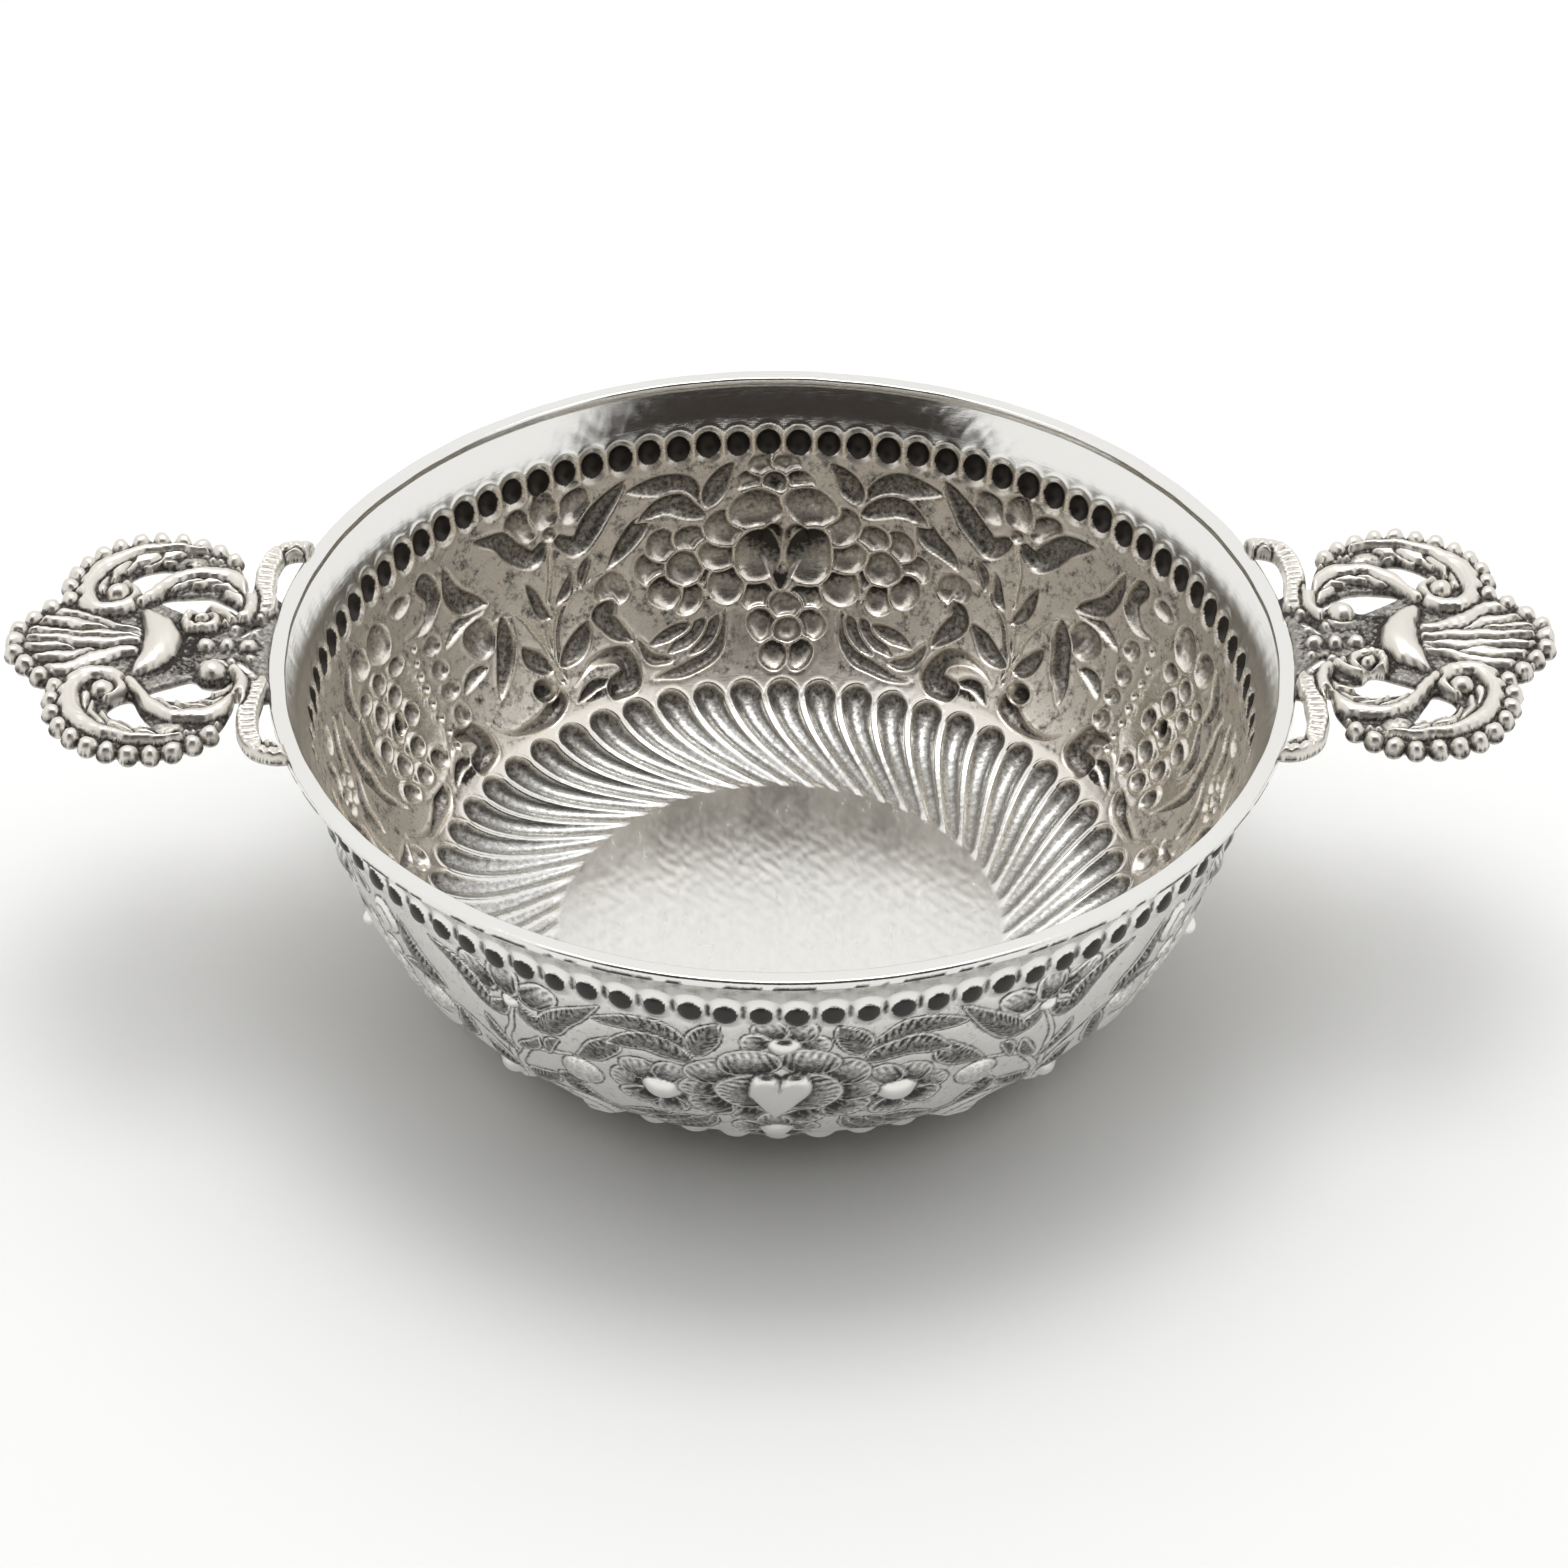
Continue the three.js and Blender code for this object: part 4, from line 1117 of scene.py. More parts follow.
def cast_half(sizes, relief, half):
    """One side's border, curled arm, scrolls and leaves."""

    def spot(out, aside):
        return out, half * aside

    def side(points):
        return [spot(*point) for point in points]

    # Fine cross lines in the sunk band under the beads
    middle = spot(sizes.lobe_reach, sizes.lobe_offset)
    relief.rays(middle, sizes.lobe_radius - 3.6, sizes.lobe_radius - 1.8, 84, 0.13)
    relief.strap(side(ARM), ARM_HALF, 1.1, 1.35)
    relief.bead(spot(-2.2, 22.3), 1.4, 1.5)
    # The outer scroll's acanthus, from its tail to its tips
    for points, half_wide, rise in (
        ([(10.8, 21.6), (14, 21.4), (16.4, 19.4)], 1.6, 0.9),
        ([(14.4, 21.8), (17.8, 21.2), (19.2, 18.2)], 1.8, 1.1),
        ([(18, 21.2), (21.2, 19.4), (21.7, 16.6)], 1.8, 1.2),
        ([(21.8, 19.4), (23.8, 17), (23, 14.4)], 1.6, 1.15),
        ([(24.6, 16), (25, 13.6), (23.4, 11.6)], 1.3, 1.0),
    ):
        relief.frond(side(points), half_wide, rise)
    relief.scroll(side([
        (21.2, 13.2), (19.8, 11.6), (20.2, 9.2), (22.6, 7.6), (25.4, 8.2), (27, 11.4),
        (26.3, 15.4), (24, 19.2), (20, 21.8), (15, 22.8), (10.4, 22.2),
    ]), (1.0, 1.75, 0.5), 1.5)
    relief.bead(spot(22.2, 11.6), 1.7, 1.9)
    # A fluted shell and small beads between the two scrolls
    relief.petal(spot(12.2, 19.8), spot(12.2, 16), 2.3, 1.6, 0.7, hatch=1.6)
    for out, aside in ((5.6, 18.6), (6.6, 19.4), (7.6, 20), (8.6, 20.4), (9.6, 20.6)):
        relief.bead(spot(out, aside), 0.55, 0.75)
    # The inner scroll with its leaves
    for points, half_wide, rise in (
        ([(3.4, 9.4), (4.6, 11.6), (7, 12.2)], 1.4, 1.0),
        ([(4.2, 12.6), (6, 14.4), (8.8, 13.9)], 1.5, 1.0),
        ([(6.8, 15.4), (9.6, 15.6), (11.8, 13.7)], 1.5, 1.1),
        ([(10.2, 16.4), (13, 15.6), (14.8, 13)], 1.6, 1.15),
    ):
        relief.frond(side(points), half_wide, rise)
    relief.scroll(side([
        (6.2, 5.2), (4.2, 6.4), (3.1, 9), (3.4, 12.4), (5.4, 15.4), (8.8, 17), (12.6, 16.6),
        (15.4, 14.2), (17.2, 11.4), (18.8, 9.4),
    ]), (0.9, 1.45, 0.85), 1.35)
    # Beside the root one side has a ball in a petal, and the other a small spiral
    if half > 0:
        relief.petal((7.2, 5), (7.2, 9), 2.3, 1.5, 0.8)
        relief.bead((7.4, 6.6), 2, 1.9)
    else:
        relief.scroll([
            (9.6, -6.4), (8, -5.8), (8.4, -4), (10.4, -3.4), (12, -4.8), (11.6, -7), (9.4, -8),
            (6.8, -7.2), (5.4, -5.4),
        ], (0.8, 0.85, 0.6), 1.3)
        relief.bead((9.9, -5.6), 1.1, 1.7)
    for out, aside in ((2.2, 3), (4.8, 3.8), (1.6, 7.2)):
        relief.bead(spot(out, aside), 0.8, 0.7)


def cast_middle(relief):
    """The dotted field, the smooth crescent, the fan and the beads on the handle's axis."""
    relief.seeds((12.2, 0), 3.6, 7.6, 1.15, 0.35)
    for index, aside in enumerate((-5.6, -3.5, -1.7, 1.4, 3.2, 5.4)):
        sway = 0.5 * math.sin(index * 2.3)
        relief.frond([
            (18.6, aside * 0.4), (22.6, aside * 0.66 + sway), (28, aside * 1.12 - sway),
            (32.6 + sway, aside * 1.3), (35.4 - abs(aside) * 0.45, aside * 1.12),
        ], 1.3 + 0.15 * (index % 2), 0.95 + 0.14 * (index % 2))
    relief.frond([(18.4, 0), (24, 0.4), (30, -0.2), (35.2, 0.1)], 1.25, 1.2)
    relief.crescent((14.9, 0), 2.7, 7.6, 3.1, 2.0)
    for out in (2.7, 5.7, 8.6):
        relief.bead((out, 0), 1.2, 1.1)


def edge_spots(inside):
    """Which of a grid's points lie next to the outline, where a line of the grid crosses it."""
    within = inside > 0
    on_edge = np.zeros_like(within)
    for axis in (0, 1):
        here = [slice(None)] * 2
        there = [slice(None)] * 2
        here[axis] = slice(None, -1)
        there[axis] = slice(1, None)
        here = tuple(here)
        there = tuple(there)
        crossed = within[here] != within[there]
        nearer = np.abs(inside[here]) <= np.abs(inside[there])
        on_edge[here] |= crossed & nearer
        on_edge[there] |= crossed & ~nearer
    return on_edge


def pulled_to_edge(x, y, inside, on_edge, spacing):
    """The grid's places, with its points at the edge moved onto the outline."""
    slope_y, slope_x = np.gradient(inside, spacing)
    steep = np.maximum(slope_x ** 2 + slope_y ** 2, 0.25)
    step = np.where(on_edge, inside / steep, 0)
    limit = 0.7 * spacing
    return x - np.clip(step * slope_x, -limit, limit), y - np.clip(step * slope_y, -limit, limit)


def cast_dark(height, edge):
    """How dark the casting's top is: its low field, the seams round what stands on it, and its edge."""
    low = ease(0.75 - height, 0, 0.95)
    seam = ease(blurred(height, 4, False) - height, 0.04, 0.4)
    recess = 0.87 * np.clip(0.75 * low + 1.5 * seam, 0, 1)
    return np.maximum(recess, 0.8 * ease(0.5 - edge, 0, 0.5))


def plate_faces(used, solid, plane):
    """Quads and triangles of a plate's two skins over a grid, and the spots of their corners on the map.
    The points are counted through the used ones for the upper skin, then through the solid ones for the
    lower skin, which shares the points at the edge."""
    upper_index = np.full(used.shape, -1)
    upper_index[used] = np.arange(used.sum())
    lower_index = upper_index.copy()
    lower_index[solid] = used.sum() + np.arange(solid.sum())
    low = slice(None, -1)
    high = slice(1, None)
    corners = [(low, low), (low, high), (high, high), (high, low)]
    filled = np.stack([used[corner] for corner in corners], -1)
    has_solid = np.stack([solid[corner] for corner in corners], -1).any(-1)
    whole = filled.all(-1) & has_solid
    quads, triangles, quad_spots, triangle_spots = [], [], [], []
    # The lower skin faces down, and has the other half of the map
    for index, shift, order in ((upper_index, 0, 1), (lower_index, 0.5, -1)):
        corner_index = np.stack([index[corner] for corner in corners], -1)
        corner_spot = np.stack([plane[corner] for corner in corners], -2) + (shift, 0)
        quads.append(corner_index[whole][:, ::order])
        quad_spots.append(corner_spot[whole][:, ::order])
        # A cell that lacks one corner gets a triangle
        for missing in range(4):
            kept = [corner for corner in range(4) if corner != missing][::order]
            chosen = ~filled[..., missing] & filled[..., kept].all(-1) & has_solid
            triangles.append(corner_index[chosen][:, kept])
            triangle_spots.append(corner_spot[chosen][:, kept])
    return [np.vstack(part) for part in (quads, triangles, quad_spots, triangle_spots)]


def pierced_plate(name, sizes, turned, spacing):
    """A handle as two skins that meet at its edge, which follows the outline closely."""
    # The arms curl back past the rim, and the lobes stand out on both sides
    arm_reach = 7.6
    half_width = 28
    x = np.arange(-arm_reach, sizes.tip_reach + 0.8, spacing)
    y = np.arange(-half_width, half_width + spacing, spacing)
    wide_x, wide_y = np.meshgrid(x, y)
    inside = handle_outline(sizes, wide_x, wide_y)
    on_edge = edge_spots(inside)
    solid = (inside > 0) & ~on_edge
    used = solid | on_edge
    at_x, at_y = pulled_to_edge(wide_x, wide_y, inside, on_edge, spacing)
    # Castings are never quite even
    at_x, at_y = (
        at_x + 0.1 * np.sin(0.43 * at_y + 1) + 0.05 * np.sin(1.3 * at_y),
        at_y + 0.12 * np.sin(0.47 * at_x + 2 * turned) + 0.05 * np.sin(1.2 * at_x),
    )
    height, tone = cast_relief(sizes, x, y)
    # The plate is rounded over 0.75 mm at its edge, and slightly hollow beneath
    edge = np.sqrt(np.clip(1 - (1 - np.clip(inside / 0.75, 0, 1)) ** 2, 0, 1))
    middle = -sizes.plate_thickness / 2
    upper = np.where(solid, middle + (height - middle) * edge, middle)
    hollow = 0.25 * ease(inside, 0.9, 2.2)
    lower = np.where(solid, middle + (middle + hollow) * edge, middle)
    turn_round = sizes.turn + (math.pi if turned else 0)

    def placed(mask, level):
        out = sizes.rim_radius + at_x[mask] * math.cos(sizes.tilt) - level[mask] * math.sin(sizes.tilt)
        up = sizes.top_height + at_x[mask] * math.sin(sizes.tilt) + level[mask] * math.cos(sizes.tilt)
        east = out * math.cos(turn_round) - at_y[mask] * math.sin(turn_round)
        north = out * math.sin(turn_round) + at_y[mask] * math.cos(turn_round)
        return np.stack([east, north, up], -1)

    points = np.vstack([placed(used, upper), placed(solid, lower)])
    plane = np.stack([(wide_x - x[0]) / (x[-1] - x[0]) * 0.49, (wide_y - y[0]) / (y[-1] - y[0])], -1)
    quads, triangles, quad_spots, triangle_spots = plate_faces(used, solid, plane)
    # Beneath it is evenly dull
    beneath = np.ones(solid.sum())
    dark = np.concatenate([cast_dark(height, edge)[used], 0.35 * beneath])
    punched = np.concatenate([0.2 * tone[used], 0 * beneath])
    tarnish = np.full(len(points), 0.35)
    wear = (dark, punched, tarnish)
    return silver_mesh(name, points, quads, triangles, wear, quad_spots, triangle_spots)


# Materials


def node(tree, kind, settings=None, links=None):
    """Adds a node with its settings, and links its sockets to values or to other nodes' outputs."""
    made = tree.nodes.new(kind)
    for name, value in (settings or {}).items():
        setattr(made, name, value)
    # A mix node has sockets of the same name for numbers and for colours, so only those in use count
    sockets = {socket.name: socket for socket in made.inputs if socket.enabled}
    for name, value in (links or {}).items():
        socket = made.inputs[name] if isinstance(name, int) else sockets[name]
        if isinstance(value, bpy.types.NodeSocket):
            tree.links.new(value, socket)
        else:
            socket.default_value = value
    return made


def material(name):
    """An empty material and its node tree."""
    made = bpy.data.materials.new(name)
    made.use_nodes = True
    made.node_tree.nodes.clear()
    return made, made.node_tree


# How wide the patterns in the silver are
CLOUD_WIDTH = 9 * MM
STAIN_WIDTH = 2.5 * MM
SPECK_WIDTH = 0.7 * MM
GRAIN_WIDTH = 0.45 * MM
STREAK_WIDTH = 1.4 * MM


def old_silver(name, finish, silver, smooth, rough, matt):
    """Old silver: polished where hands and cloth reach, warm thin tarnish on the embossed ground and
    dark sulphide in the hollows, which gives the eye the drawing of the flowers, and painted shade and
    painted reflection laid on in the same dark. Its roughness runs from smooth to rough in streaks, and
    tarnish adds matt to it."""
    made, tree = material(name)
    place = node(tree, "ShaderNodeTexCoord").outputs["Object"]
    dark, punched, tarnish = (
        node(tree, "ShaderNodeAttribute", {"attribute_name": wear}).outputs["Fac"] for wear in WEAR
    )
    # Tarnish wears off in clouds
    clouds = node(
        tree, "ShaderNodeTexNoise", {}, {"Vector": place, "Scale": 1 / CLOUD_WIDTH, "Detail": 3},
    )
    worn = node(
        tree, "ShaderNodeMapRange", {},
        {"Value": clouds.outputs["Fac"], "From Min": 0.3, "From Max": 0.7, "To Min": 0.75, "To Max": 1.25},
    )
    thin = node(tree, "ShaderNodeMath", {"operation": "MULTIPLY"}, {0: tarnish, 1: worn.outputs["Result"]})
    # Specks break the edge of the sulphide and of the painted shade
    speck = node(
        tree, "ShaderNodeTexNoise", {},
        {"Vector": place, "Scale": 1 / SPECK_WIDTH, "Detail": 4, "Roughness": 0.65},
    )
    uneven = node(
        tree, "ShaderNodeMapRange", {},
        {"Value": speck.outputs["Fac"], "From Min": 0.2, "From Max": 0.8, "To Min": -0.28, "To Max": 0.28},
    )
    broken = node(
        tree, "ShaderNodeMath", {"operation": "ADD"}, {0: dark, 1: uneven.outputs["Result"]},
    )
    # On the punched ground a cloth leaves it in patches
    patches = node(
        tree, "ShaderNodeTexNoise", {},
        {"Vector": place, "Scale": 1 / STAIN_WIDTH, "Detail": 6, "Roughness": 0.75},
    )
    clouded = node(
        tree, "ShaderNodeMapRange", {},
        {"Value": patches.outputs["Fac"], "From Min": 0.4, "From Max": 0.66, "To Min": -0.5, "To Max": 4},
    )
    stained = node(
        tree, "ShaderNodeMath", {"operation": "MULTIPLY_ADD"},
        {0: punched, 1: clouded.outputs["Result"], 2: broken.outputs["Value"]},
    )
    # How much of the dark colour is laid on: real sulphide, with painted shade and painted reflection
    oxide = node(
        tree, "ShaderNodeMapRange", {},
        {"Value": stained.outputs["Value"], "From Min": 0.25, "From Max": 0.9, "To Min": 0, "To Max": 0.97},
    ).outputs["Result"]
    # The grey pits of the punched ground, drawn about twice as coarse as they are, to show in the render
    grain = node(
        tree, "ShaderNodeTexNoise", {},
        {"Vector": place, "Scale": 1 / GRAIN_WIDTH, "Detail": 2, "Roughness": 0.7},
    )
    pits = node(
        tree, "ShaderNodeMapRange", {},
        {"Value": grain.outputs["Fac"], "From Min": 0.42, "From Max": 0.72, "To Min": 0, "To Max": 1.2},
    )
    pitted = node(
        tree, "ShaderNodeMath", {"operation": "MULTIPLY", "use_clamp": True},
        {0: pits.outputs["Result"], 1: punched},
    )
    ground = node(
        tree, "ShaderNodeMix", {"data_type": "RGBA"},
        {"Factor": thin.outputs["Value"], "A": list(silver), "B": list(finish.tarnish)},
    )
    dulled = node(
        tree, "ShaderNodeMix", {"data_type": "RGBA"},
        {"Factor": pitted.outputs["Value"], "A": ground.outputs[2], "B": list(finish.pits)},
    )
    base = node(
        tree, "ShaderNodeMix", {"data_type": "RGBA"},
        {"Factor": oxide, "A": dulled.outputs[2], "B": list(finish.oxide)},
    )
    # A cloth leaves streaks in the gloss, 4 times as long as wide and 6 times finer up the wall
    stretched = node(tree, "ShaderNodeMapping", {}, {"Vector": place, "Scale": (1, 0.25, 6)})
    streaks = node(
        tree, "ShaderNodeTexNoise", {},
        {"Vector": stretched.outputs["Vector"], "Scale": 1 / STREAK_WIDTH, "Detail": 5, "Roughness": 0.7},
    )
    gloss = node(
        tree, "ShaderNodeMapRange", {},
        {"Value": streaks.outputs["Fac"], "From Min": 0.35, "From Max": 0.7, "To Min": smooth,
         "To Max": rough},
    )
    dull = node(
        tree, "ShaderNodeMath", {"operation": "MULTIPLY_ADD"},
        {0: thin.outputs["Value"], 1: matt, 2: gloss.outputs["Result"]},
    )
    # Sulphide is duller than silver, and the painted shade and painted reflection are made as dull
    duller = node(
        tree, "ShaderNodeMath", {"operation": "MULTIPLY_ADD"}, {0: oxide, 1: 0.2, 2: dull.outputs["Value"]},
    )
    # The punched ground is satin between the smooth petals
    satin = node(
        tree, "ShaderNodeMath", {"operation": "MULTIPLY_ADD"},
        {0: punched, 1: 0.8, 2: duller.outputs["Value"]},
    )
    # Use has scoured the floor, up to where the wall leaves it, so it is duller than the wall
    level = node(tree, "ShaderNodeSeparateXYZ", {}, {"Vector": place}).outputs["Z"]
    scoured = node(
        tree, "ShaderNodeMapRange", {},
        {"Value": level, "From Min": 1.2 * MM, "From Max": 4 * MM, "To Min": 0.09, "To Max": 0},
    )
    roughness = node(
        tree, "ShaderNodeMath", {"operation": "ADD"},
        {0: satin.outputs["Value"], 1: scoured.outputs["Result"]},
    )
    # The pits are sunk, and the streaks show in the mirror too
    rough_ground = node(
        tree, "ShaderNodeMath", {"operation": "MULTIPLY_ADD"},
        {0: pitted.outputs["Value"], 1: -1.5, 2: streaks.outputs["Fac"]},
    )
    bump = node(
        tree, "ShaderNodeBump", {},
        {"Strength": 0.35, "Distance": 0.07 * MM, "Height": rough_ground.outputs["Value"]},
    )
    # Sulphide is no metal, so the hollows lose some of their mirror, and the painted shade and painted
    # reflection lose it with them
    metal = node(tree, "ShaderNodeMapRange", {}, {"Value": oxide, "To Min": 1, "To Max": 0.7})
    shader = node(
        tree, "ShaderNodeBsdfPrincipled", {},
        {"Base Color": base.outputs[2], "Metallic": metal.outputs["Result"],
         "Roughness": roughness.outputs["Value"], "Normal": bump.outputs["Normal"]},
    )
    node(tree, "ShaderNodeOutputMaterial", {}, {"Surface": shader.outputs["BSDF"]})
    return made


# Operators


def dress(piece, made, cad_node):
    """Gives a piece its material, in place of the plain solid."""
    piece.data.materials.append(made)
    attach(piece, "root")
    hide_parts(cad_node)


class EmbossedSheet(bpy.types.Operator):
    """Build the raised sheet with its gadroons, flowers and bead ring"""

    bl_idname = "brandy_bowl.embossed_sheet"
    bl_label = "Embossed sheet"

    def execute(self, context):
        sizes = in_mm(SHEET)
        finish = group_of(FINISH)
        columns_per_bead = 18
        spacing = 0.25
        rings, wear, heights = embossed_sheet(sizes, sizes.bead_count * columns_per_bead, spacing)
        floor_top = [[0, 0, sizes.sheet_thickness]]
        floor_under = [[0, 0, 0]]
        piece = skin("embossed_sheet", rings, wear, heights, floor_top, floor_under)
        # Hammered and punched, then wiped: it mirrors in small broken patches between black lines
        # Its dark is sulphide, with painted shade and painted reflection laid on in it
        made = old_silver(
            "Raised silver, oxidised and wiped", finish, finish.silver, smooth=0.07, rough=0.2, matt=0.14,
        )
        dress(piece, made, "bowl_body")
        return {"FINISHED"}


class RimWire(bpy.types.Operator):
    """Lay the flat wire on the lip"""

    bl_idname = "brandy_bowl.rim_wire"
    bl_label = "Rim wire"

    def execute(self, context):
        finish = group_of(FINISH)
        piece = rim_wire(in_mm(SHEET), in_mm(RIM))
        # Drawn, and polished by hands: the brightest line of the bowl
        made = old_silver(
            "Drawn silver wire, polished", finish, finish.silver, smooth=0.06, rough=0.16, matt=0.1,
        )
        dress(piece, made, "rim_wire")
        return {"FINISHED"}


class CastHandles(bpy.types.Operator):
    """Cast the two openwork handles"""

    bl_idname = "brandy_bowl.handles"
    bl_label = "Handles"

    def execute(self, context):
        sizes = in_mm(HANDLES)
        sheet = in_mm(SHEET)
        rim = in_mm(RIM)
        sizes.rim_radius = rim.rim_radius
        sizes.top_height = sheet.lip_height + rim.wire_height + sizes.lift
        finish = group_of(FINISH)
        # Cast and rubbed: a softer gloss on what stands up, over a black field
        made = old_silver(
            "Cast silver, oxidised and rubbed", finish, finish.cast_silver, smooth=0.2, rough=0.38, matt=0.2,
        )
        spacing = 0.16
        for name, node_name, turned in (
            ("cast_handle_right", "handle_right", False), ("cast_handle_left", "handle_left", True),
        ):
            piece = pierced_plate(name, sizes, turned, spacing)
            dress(piece, made, node_name)
        return {"FINISHED"}


class StageAndCamera(bpy.types.Operator):
    """Set the pale floor, the screen, the soft light and the camera"""

    bl_idname = "brandy_bowl.stage"
    bl_label = "Stage"

    def execute(self, context):
        stage = group_of(STAGE)
        pale_floor(stage)
        dark_screen(stage)
        overhead_lamp()
        world_light()
        camera()
        return {"FINISHED"}


def pale_floor(stage):
    """A large sheet of paper, a hair below the bowl so that the two don't share a face."""
    half_width = 3.0
    corners = [(-half_width, -half_width), (half_width, -half_width), (half_width, half_width),
               (-half_width, half_width)]
    mesh = bpy.data.meshes.new("floor")
    mesh.from_pydata([(*corner, 0) for corner in corners], [], [(0, 1, 2, 3)])
    floor = bpy.data.objects.new("floor", mesh)
    floor.location.z = -0.02 * MM
    link(floor)
    # Matt paper has next to no gloss, and takes the bowl's soft shadow
    made, tree = material("Matt white paper")
    shader = node(
        tree, "ShaderNodeBsdfPrincipled", {},
        {"Base Color": list(stage.floor), "Roughness": 0.9, "Specular IOR Level": 0.1},
    )
    # The silver sees the paper whiter than its shadows are, as part of the white background, and what
    # it sees lights nothing else
    path = node(tree, "ShaderNodeLightPath")
    direct = node(
        tree, "ShaderNodeMath", {"operation": "LESS_THAN"}, {0: path.outputs["Diffuse Depth"], 1: 0.5},
    )
    mirrored = node(
        tree, "ShaderNodeMath", {"operation": "MULTIPLY"},
        {0: path.outputs["Is Glossy Ray"], 1: direct.outputs["Value"]},
    )
    white_share = 0.25
    share = node(
        tree, "ShaderNodeMath", {"operation": "MULTIPLY"}, {0: mirrored.outputs["Value"], 1: white_share},
    )
    white = node(tree, "ShaderNodeEmission", {}, {"Color": (1, 1, 1, 1), "Strength": 1.0})
    both = node(
        tree, "ShaderNodeMixShader", {},
        {0: share.outputs["Value"], 1: shader.outputs["BSDF"], 2: white.outputs["Emission"]},
    )
    node(tree, "ShaderNodeOutputMaterial", {}, {"Surface": both.outputs["Shader"]})
    mesh.materials.append(made)


def dark_screen(stage):
    """A part of a dome behind and over the camera, dark below and pale at its top. Only the silver sees
    it, as it would see a dim room there."""
    rows = 18
    columns = 24
    radius = 1.3
    # How far up it starts and ends, and how far it goes round on each side, in degrees
    lowest = 8
    highest = 84
    half_round = 48
    points = []
    for row in range(rows + 1):
        up = math.radians(lowest + (highest - lowest) * row / rows)
        for column in range(columns + 1):
            around = math.radians(-90 - half_round + 2 * half_round * column / columns)
            points.append((
                radius * math.cos(up) * math.cos(around),
                radius * math.cos(up) * math.sin(around),
                radius * math.sin(up),
            ))
    next_row = columns + 1
    faces = []
    for row in range(rows):
        for corner in range(row * next_row, row * next_row + columns):
            faces.append((corner, corner + 1, corner + next_row + 1, corner + next_row))
    mesh = bpy.data.meshes.new("dark_screen")
    mesh.from_pydata(points, [], faces)
    screen = bpy.data.objects.new("dark_screen", mesh)
    link(screen)
    # Cloth without gloss gives the silver a dark to mirror, and turns pale near its top
    made, tree = material("Grey cloth")
    place = node(tree, "ShaderNodeTexCoord").outputs["Object"]
    height = node(tree, "ShaderNodeSeparateXYZ", {}, {"Vector": place}).outputs["Z"]
    to_top = node(
        tree, "ShaderNodeMapRange", {"interpolation_type": "SMOOTHSTEP"},
        {"Value": height, "From Min": 1.05, "From Max": 1.27},
    )
    cloth = node(
        tree, "ShaderNodeMix", {"data_type": "RGBA"},
        {"Factor": to_top.outputs["Result"], "A": list(stage.dark_card), "B": list(stage.pale_card)},
    )
    shader = node(
        tree, "ShaderNodeBsdfPrincipled", {},
        {"Base Color": cloth.outputs[2], "Roughness": 1.0, "Specular IOR Level": 0.0},
    )
    node(tree, "ShaderNodeOutputMaterial", {}, {"Surface": shader.outputs["BSDF"]})
    mesh.materials.append(made)
    screen.visible_camera = False
    screen.visible_diffuse = False
    screen.visible_shadow = False


def overhead_lamp():
    """A soft box a metre up and a little behind the bowl, which gives the silver its highlights."""
    light = bpy.data.lights.new("overhead_lamp", "AREA")
    light.shape = "RECTANGLE"
    light.size = 0.5
    light.size_y = 0.4
    light.energy = 2.2
    lamp = bpy.data.objects.new("overhead_lamp", light)
    lamp.location = (0, 0.24, 1)
    aim = Vector((0, 0, 0.02))
    lamp.rotation_euler = (aim - lamp.location).to_track_quat("-Z", "Y").to_euler()
    link(lamp)


def world_light():
    """Soft white surroundings, brightest above and a little behind the bowl, as under a soft box. Where
    the camera or the silver looks they are plain white."""
    brightest_way = (0, 0.38, 0.925)
    brightest = 1.82
    # About the cosine of 70 degrees, which is how far from there the light fades out
    fade_out = 0.35
    world = bpy.data.worlds.new("White room")
    world.use_nodes = True
    bpy.context.scene.world = world
    tree = world.node_tree
    tree.nodes.clear()
    path = node(tree, "ShaderNodeLightPath")
    mirrored = node(
        tree, "ShaderNodeMath", {"operation": "MAXIMUM"},
        {0: path.outputs["Is Camera Ray"], 1: path.outputs["Is Glossy Ray"]},
    )
    seen = node(
        tree, "ShaderNodeMath", {"operation": "MAXIMUM"},
        {0: mirrored.outputs["Value"], 1: path.outputs["Is Transmission Ray"]},
    )
    towards = node(tree, "ShaderNodeTexCoord").outputs["Generated"]
    overhead = node(
        tree, "ShaderNodeVectorMath", {"operation": "DOT_PRODUCT"}, {0: towards, 1: brightest_way},
    )
    strength = node(
        tree, "ShaderNodeMapRange", {},
        {"Value": overhead.outputs["Value"], "From Min": fade_out, "From Max": 1, "To Min": 0,
         "To Max": brightest},
    )
    soft = node(
        tree, "ShaderNodeBackground", {},
        {"Color": (1, 1, 1, 1), "Strength": strength.outputs["Result"]},
    )
    white = node(tree, "ShaderNodeBackground", {}, {"Color": (1, 1, 1, 1), "Strength": 1.0})
    both = node(
        tree, "ShaderNodeMixShader", {},
        {0: seen.outputs["Value"], 1: soft.outputs["Background"], 2: white.outputs["Background"]},
    )
    node(tree, "ShaderNodeOutputWorld", {}, {"Surface": both.outputs["Shader"]})


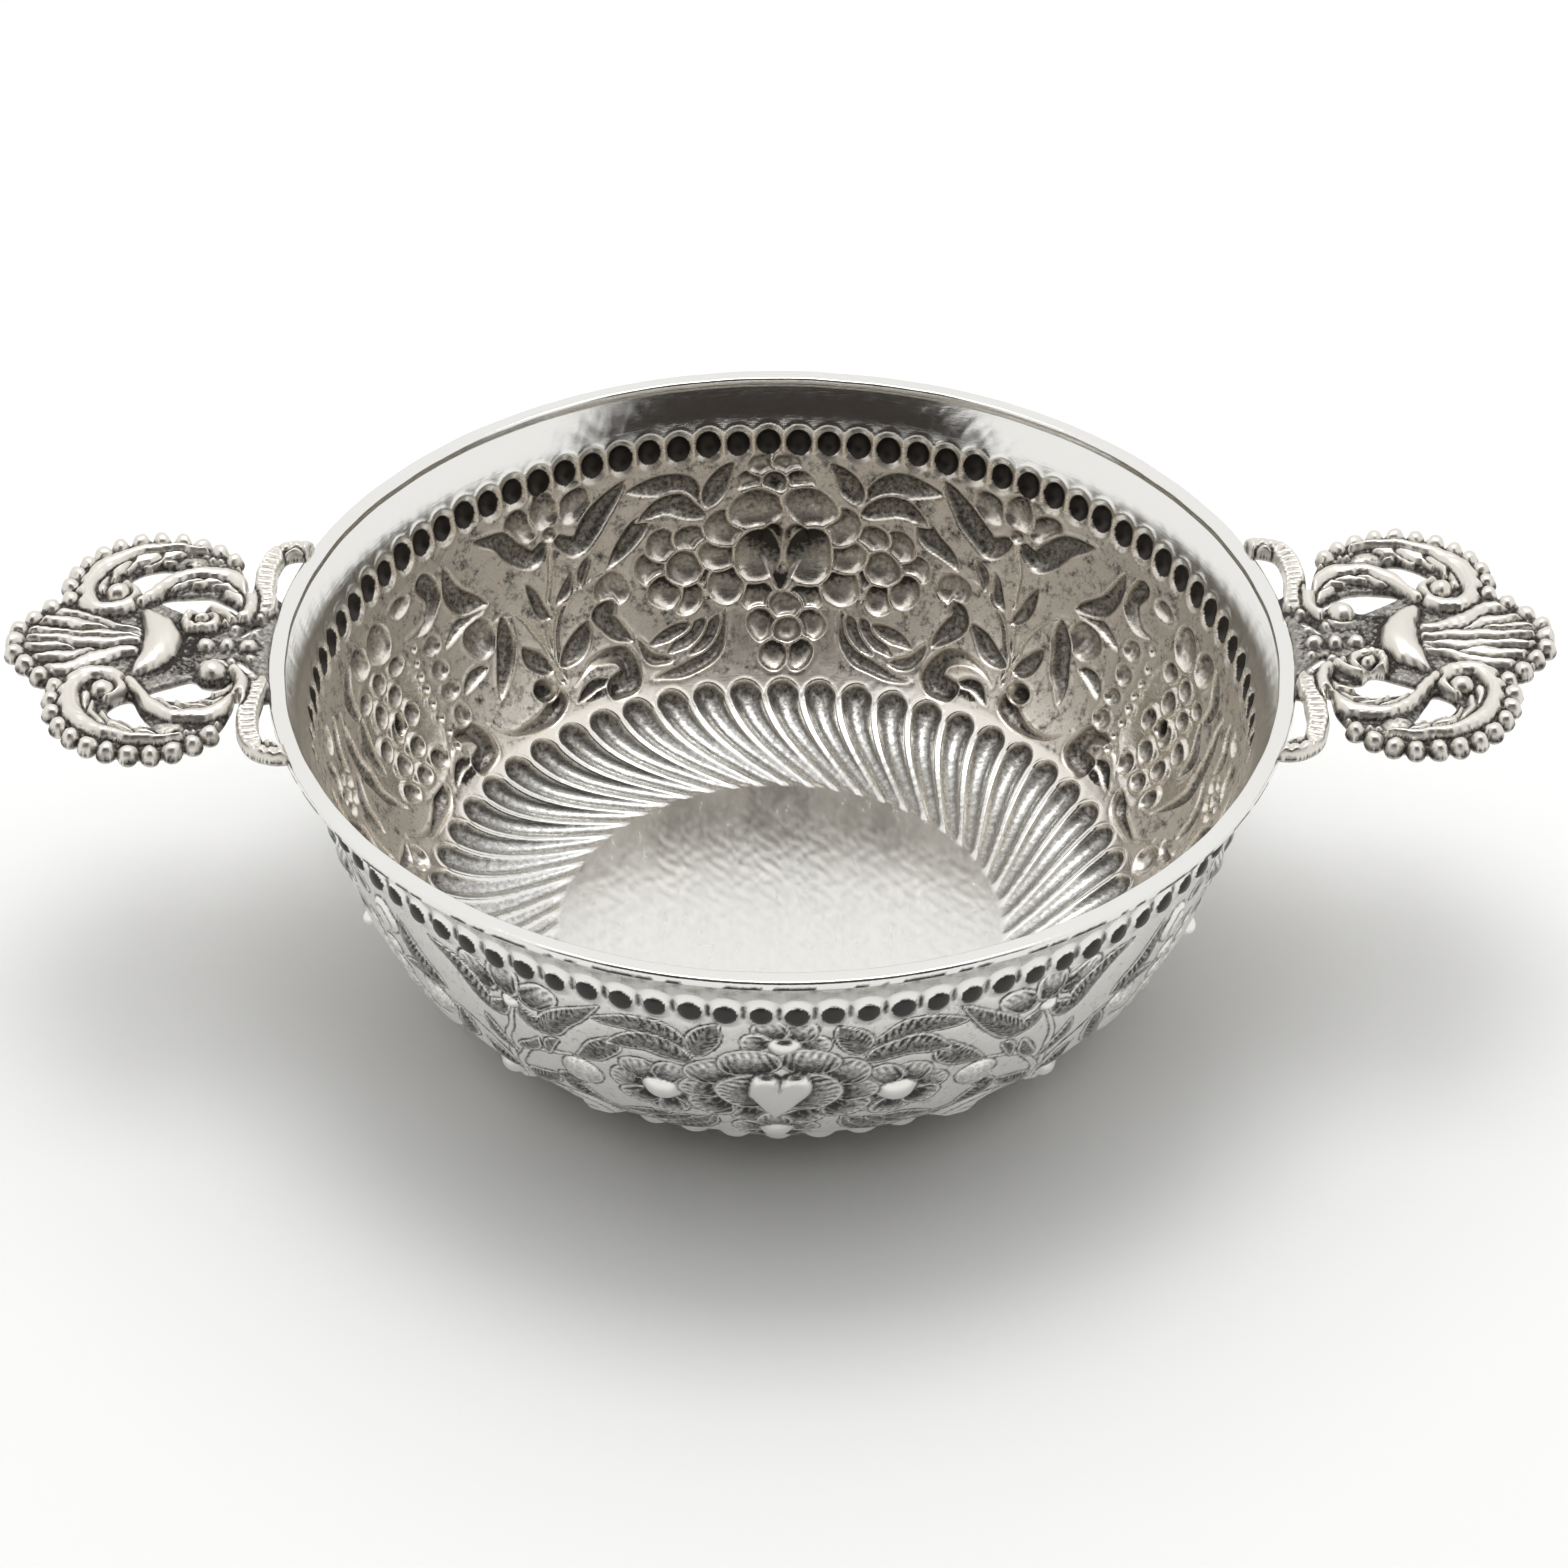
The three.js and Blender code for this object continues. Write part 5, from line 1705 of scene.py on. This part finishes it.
def camera():
    """The photograph's view: 38 degrees down, from in front of the bowl. Its lengths are in millimetres."""
    down = math.radians(38.1)
    roll = math.radians(0.4)
    distance = 643
    # What it looks at, from the middle of the rim's top: a little to the right, and lower in the picture
    aim_right = 0.42
    aim_down = 19.17
    photo_width = 1568
    focal_pixels = 4520
    right = Vector((1, 0, 0))
    forward = Vector((0, math.cos(down), -math.sin(down)))
    up = Vector((0, math.sin(down), math.cos(down)))
    across = math.cos(roll) * right + math.sin(roll) * up
    above = -math.sin(roll) * right + math.cos(roll) * up
    rim_top = Vector((0, 0, 51.5))
    place = rim_top + aim_right * right - aim_down * up - distance * forward
    lens = bpy.data.cameras.new("Photograph view")
    lens.sensor_width = 36
    lens.lens = focal_pixels / photo_width * lens.sensor_width
    lens.clip_start = 10 * MM
    view = bpy.data.objects.new("Photograph view", lens)
    turned = Matrix((across, above, -forward)).transposed().to_4x4()
    view.matrix_world = Matrix.Translation(place * MM) @ turned
    link(view)
    bpy.context.scene.camera = view


class BrandyBowlPanel(bpy.types.Panel):
    """Sizes and colours of the bowl, and the buttons that build it"""

    bl_idname = "VIEW3D_PT_brandy_bowl"
    bl_label = "Brandy bowl"
    bl_space_type = "VIEW_3D"
    bl_region_type = "UI"
    bl_category = "Brandy bowl"

    def draw(self, context):
        for name, group in GROUPS.items():
            box = self.layout.box()
            box.label(text=group.__doc__)
            for prop in group.__annotations__:
                box.prop(getattr(context.scene, name), prop)
        for operator in OPERATORS:
            self.layout.operator(operator.bl_idname)


OPERATORS = (EmbossedSheet, RimWire, CastHandles, StageAndCamera)


def register():
    """Makes the sizes, the operators and the panel known to Blender."""
    for name, group in GROUPS.items():
        bpy.utils.register_class(group)
        setattr(bpy.types.Scene, name, bpy.props.PointerProperty(type=group))
    for operator in OPERATORS:
        bpy.utils.register_class(operator)
    bpy.utils.register_class(BrandyBowlPanel)


def unregister():
    bpy.utils.unregister_class(BrandyBowlPanel)
    for operator in reversed(OPERATORS):
        bpy.utils.unregister_class(operator)
    for name, group in GROUPS.items():
        delattr(bpy.types.Scene, name)
        bpy.utils.unregister_class(group)


def main():
    """Builds the bowl, piece by piece, on its stage."""
    register()
    bpy.context.scene.view_settings.view_transform = "Standard"
    bpy.ops.brandy_bowl.embossed_sheet()
    bpy.ops.brandy_bowl.rim_wire()
    bpy.ops.brandy_bowl.handles()
    bpy.ops.brandy_bowl.stage()


if __name__ == "__main__":
    main()
